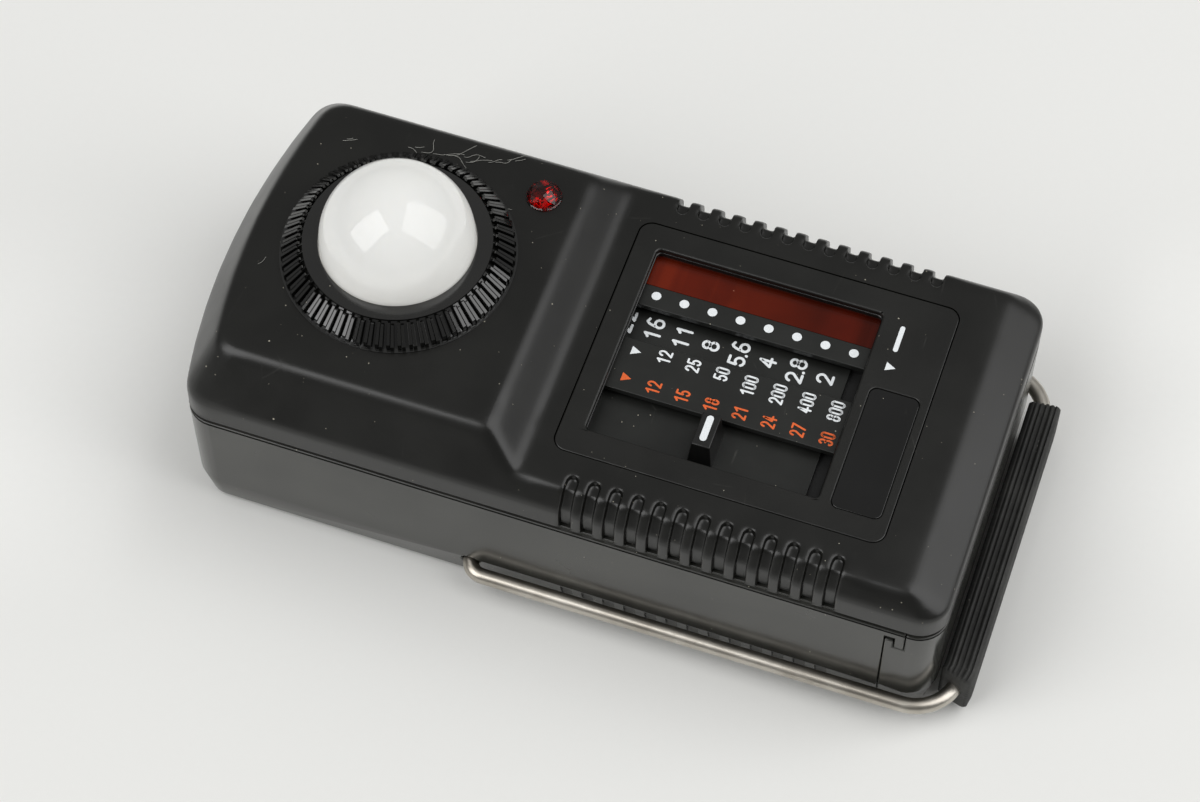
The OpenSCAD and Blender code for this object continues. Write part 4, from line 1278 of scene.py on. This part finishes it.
def lint_mesh():
    """Thin curled fibres that lie on the head."""
    rng = np.random.default_rng(12)
    fibres = []
    for x, y, length, curl, heading in LINT:
        bend = 0.0
        pts = []
        for k in range(max(4, int(length / LINT_STEP))):
            bend = bend * 0.86 + rng.normal(0.0, curl)
            heading += bend
            x += cos(heading) * LINT_STEP
            y += sin(heading) * LINT_STEP
            pts.append(case(x, y, HEAD_TOP + 0.04 * (2 + sin(k * 0.4))))
        fibres.append(tube(pts, LINT_R * MM, 5))
    return joined("lint", fibres)


add_piece("head_lint", lint_mesh(), [lint_grey], "case", (), 60)


# Finishes of the CAD nodes that stay

KEPT = {"led_filter": filter_red, "slider_tray": dark_inside, "cell_holder": dark_inside,
        "battery_snap": dark_inside, "button_switch": dark_inside, "friction_spring": spring_steel,
        "circuit_board": board_green, "photocell": cell_dark, "timing_capacitor": sleeve_blue,
        "battery": can_grey, "comparator_chip_1": chip_black, "comparator_chip_2": chip_black,
        "ready_led": lamp_red}
KEPT.update({"result_led_%d" % k: lamp_red for k in range(1, 9)})
KEPT.update({"case_screw_%d" % k: screw_steel for k in range(1, 5)})
for name, finish in KEPT.items():
    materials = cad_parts[name].data.materials
    if not materials:
        materials.append(finish)
    for k in range(len(materials)):
        materials[k] = finish


# Floor, light and camera

def floor_finish():
    """Pale paper with painted light: a little lighter towards the back and beside the two short sides of the
    meter.
    """
    f = Finish("pale paper floor")
    fibre = f.noise(0.8, 3.0, 0.6)
    x, y, _ = f.axes()
    # Painted light: the paper grows a little lighter towards the back.
    away = f.steps(y, -120.0, 160.0, kind="LINEAR")
    base = f.mix(away, (0.82, 0.82, 0.8, 1.0), (0.86, 0.86, 0.842, 1.0))
    # Painted light: lighter pools beside the meter's two short sides, thinning its shadow there.
    flank = f.steps(x.size(), 58.0, 74.0) * f.steps((y - x * 0.33 - 10.0).size(), 12.0, 46.0, 1.0, 0.0)
    flank = flank * f.steps(x.size(), 95.0, 150.0, 1.0, 0.0)
    base = f.mix(flank, base, (0.93, 0.93, 0.91, 1.0))
    base = f.mix(f.steps(fibre, 0.3, 0.7) * 0.03, base, (0.7, 0.7, 0.68, 1.0))
    return f.done({"Base Color": base, "Roughness": 0.75, "Specular IOR Level": 0.2,
                   "Normal": f.bump(f.noise(0.004, 2.0, 0.5), 0.5, 0.05)})


FLOOR_HALF = 4.0
corners = [(x * FLOOR_HALF, y * FLOOR_HALF, 0) for x, y in ((-1, -1), (1, -1), (1, 1), (-1, 1))]
floor_mesh = bpy.data.meshes.new("floor")
floor_mesh.from_pydata(corners, [], [(0, 1, 2, 3)])
floor_mesh.materials.append(floor_finish())
floor = put("floor", floor_mesh)

BOX_DISTANCE = 1.3
BOX_AIM = Vector((-0.02, 0, 0.03))


def soft_box(name, direction, wide, tall, radiance):
    """A square soft light that faces the meter."""
    light = bpy.data.lights.new(name, "AREA")
    light.shape = "RECTANGLE"
    light.size = wide * BOX_DISTANCE
    light.size_y = tall * BOX_DISTANCE
    light.energy = radiance * light.size * light.size_y * pi
    z = Vector(direction).normalized()
    x = Vector((0, 0, 1)).cross(z).normalized()
    turn = Matrix((x, z.cross(x), z)).transposed().to_4x4()
    put(name, light).matrix_world = Matrix.Translation(z * BOX_DISTANCE + BOX_AIM) @ turn


soft_box("left soft box", (-0.489, -0.486, 0.725), wide=0.66, tall=0.95, radiance=2.9)
soft_box("right soft box", (0.68, 0.125, 0.72), wide=0.95, tall=1.2, radiance=2.05)


def dim_room():
    """A dim grey room, lighter behind the table, and the pale backdrop where the camera looks."""
    world = bpy.data.worlds.new("studio")
    bpy.context.scene.world = world
    world.use_nodes = True
    sky = Tree(world.node_tree)
    along = sky.node("ShaderNodeVectorMath", {"operation": "DOT_PRODUCT"},
                     {0: sky.node("ShaderNodeTexCoord", out="Generated"), 1: (-0.17, 0.49, 0.857)},
                     "Value")
    lift = sky.node("ShaderNodeMapRange", values={"Value": along, "From Min": 0.1})
    room = sky.mix(lift, (0.19, 0.19, 0.187, 1.0), (0.33, 0.33, 0.324, 1.0))
    seen = sky.node("ShaderNodeLightPath", out="Is Camera Ray")
    shade = sky.node("ShaderNodeBackground", values={"Color": sky.mix(seen, room, (0.84, 0.84, 0.825, 1.0))})
    sky.node("ShaderNodeOutputWorld", values={"Surface": shade})


dim_room()

CAMERA_AT = case(82.64, -242.82, 439.946)
CAMERA_TURN = Euler([radians(a) for a in (31.0616, -0.0447, 19.1231)])
lens = bpy.data.cameras.new("camera")
lens.sensor_width = 36.0
lens.lens = 97.66
lens.clip_start = 0.01
lens.clip_end = 20.0
camera = put("camera", lens)
camera.matrix_world = Matrix.Translation(CAMERA_AT) @ CAMERA_TURN.to_matrix().to_4x4()
bpy.context.scene.camera = camera
bpy.context.scene.view_settings.view_transform = "Standard"
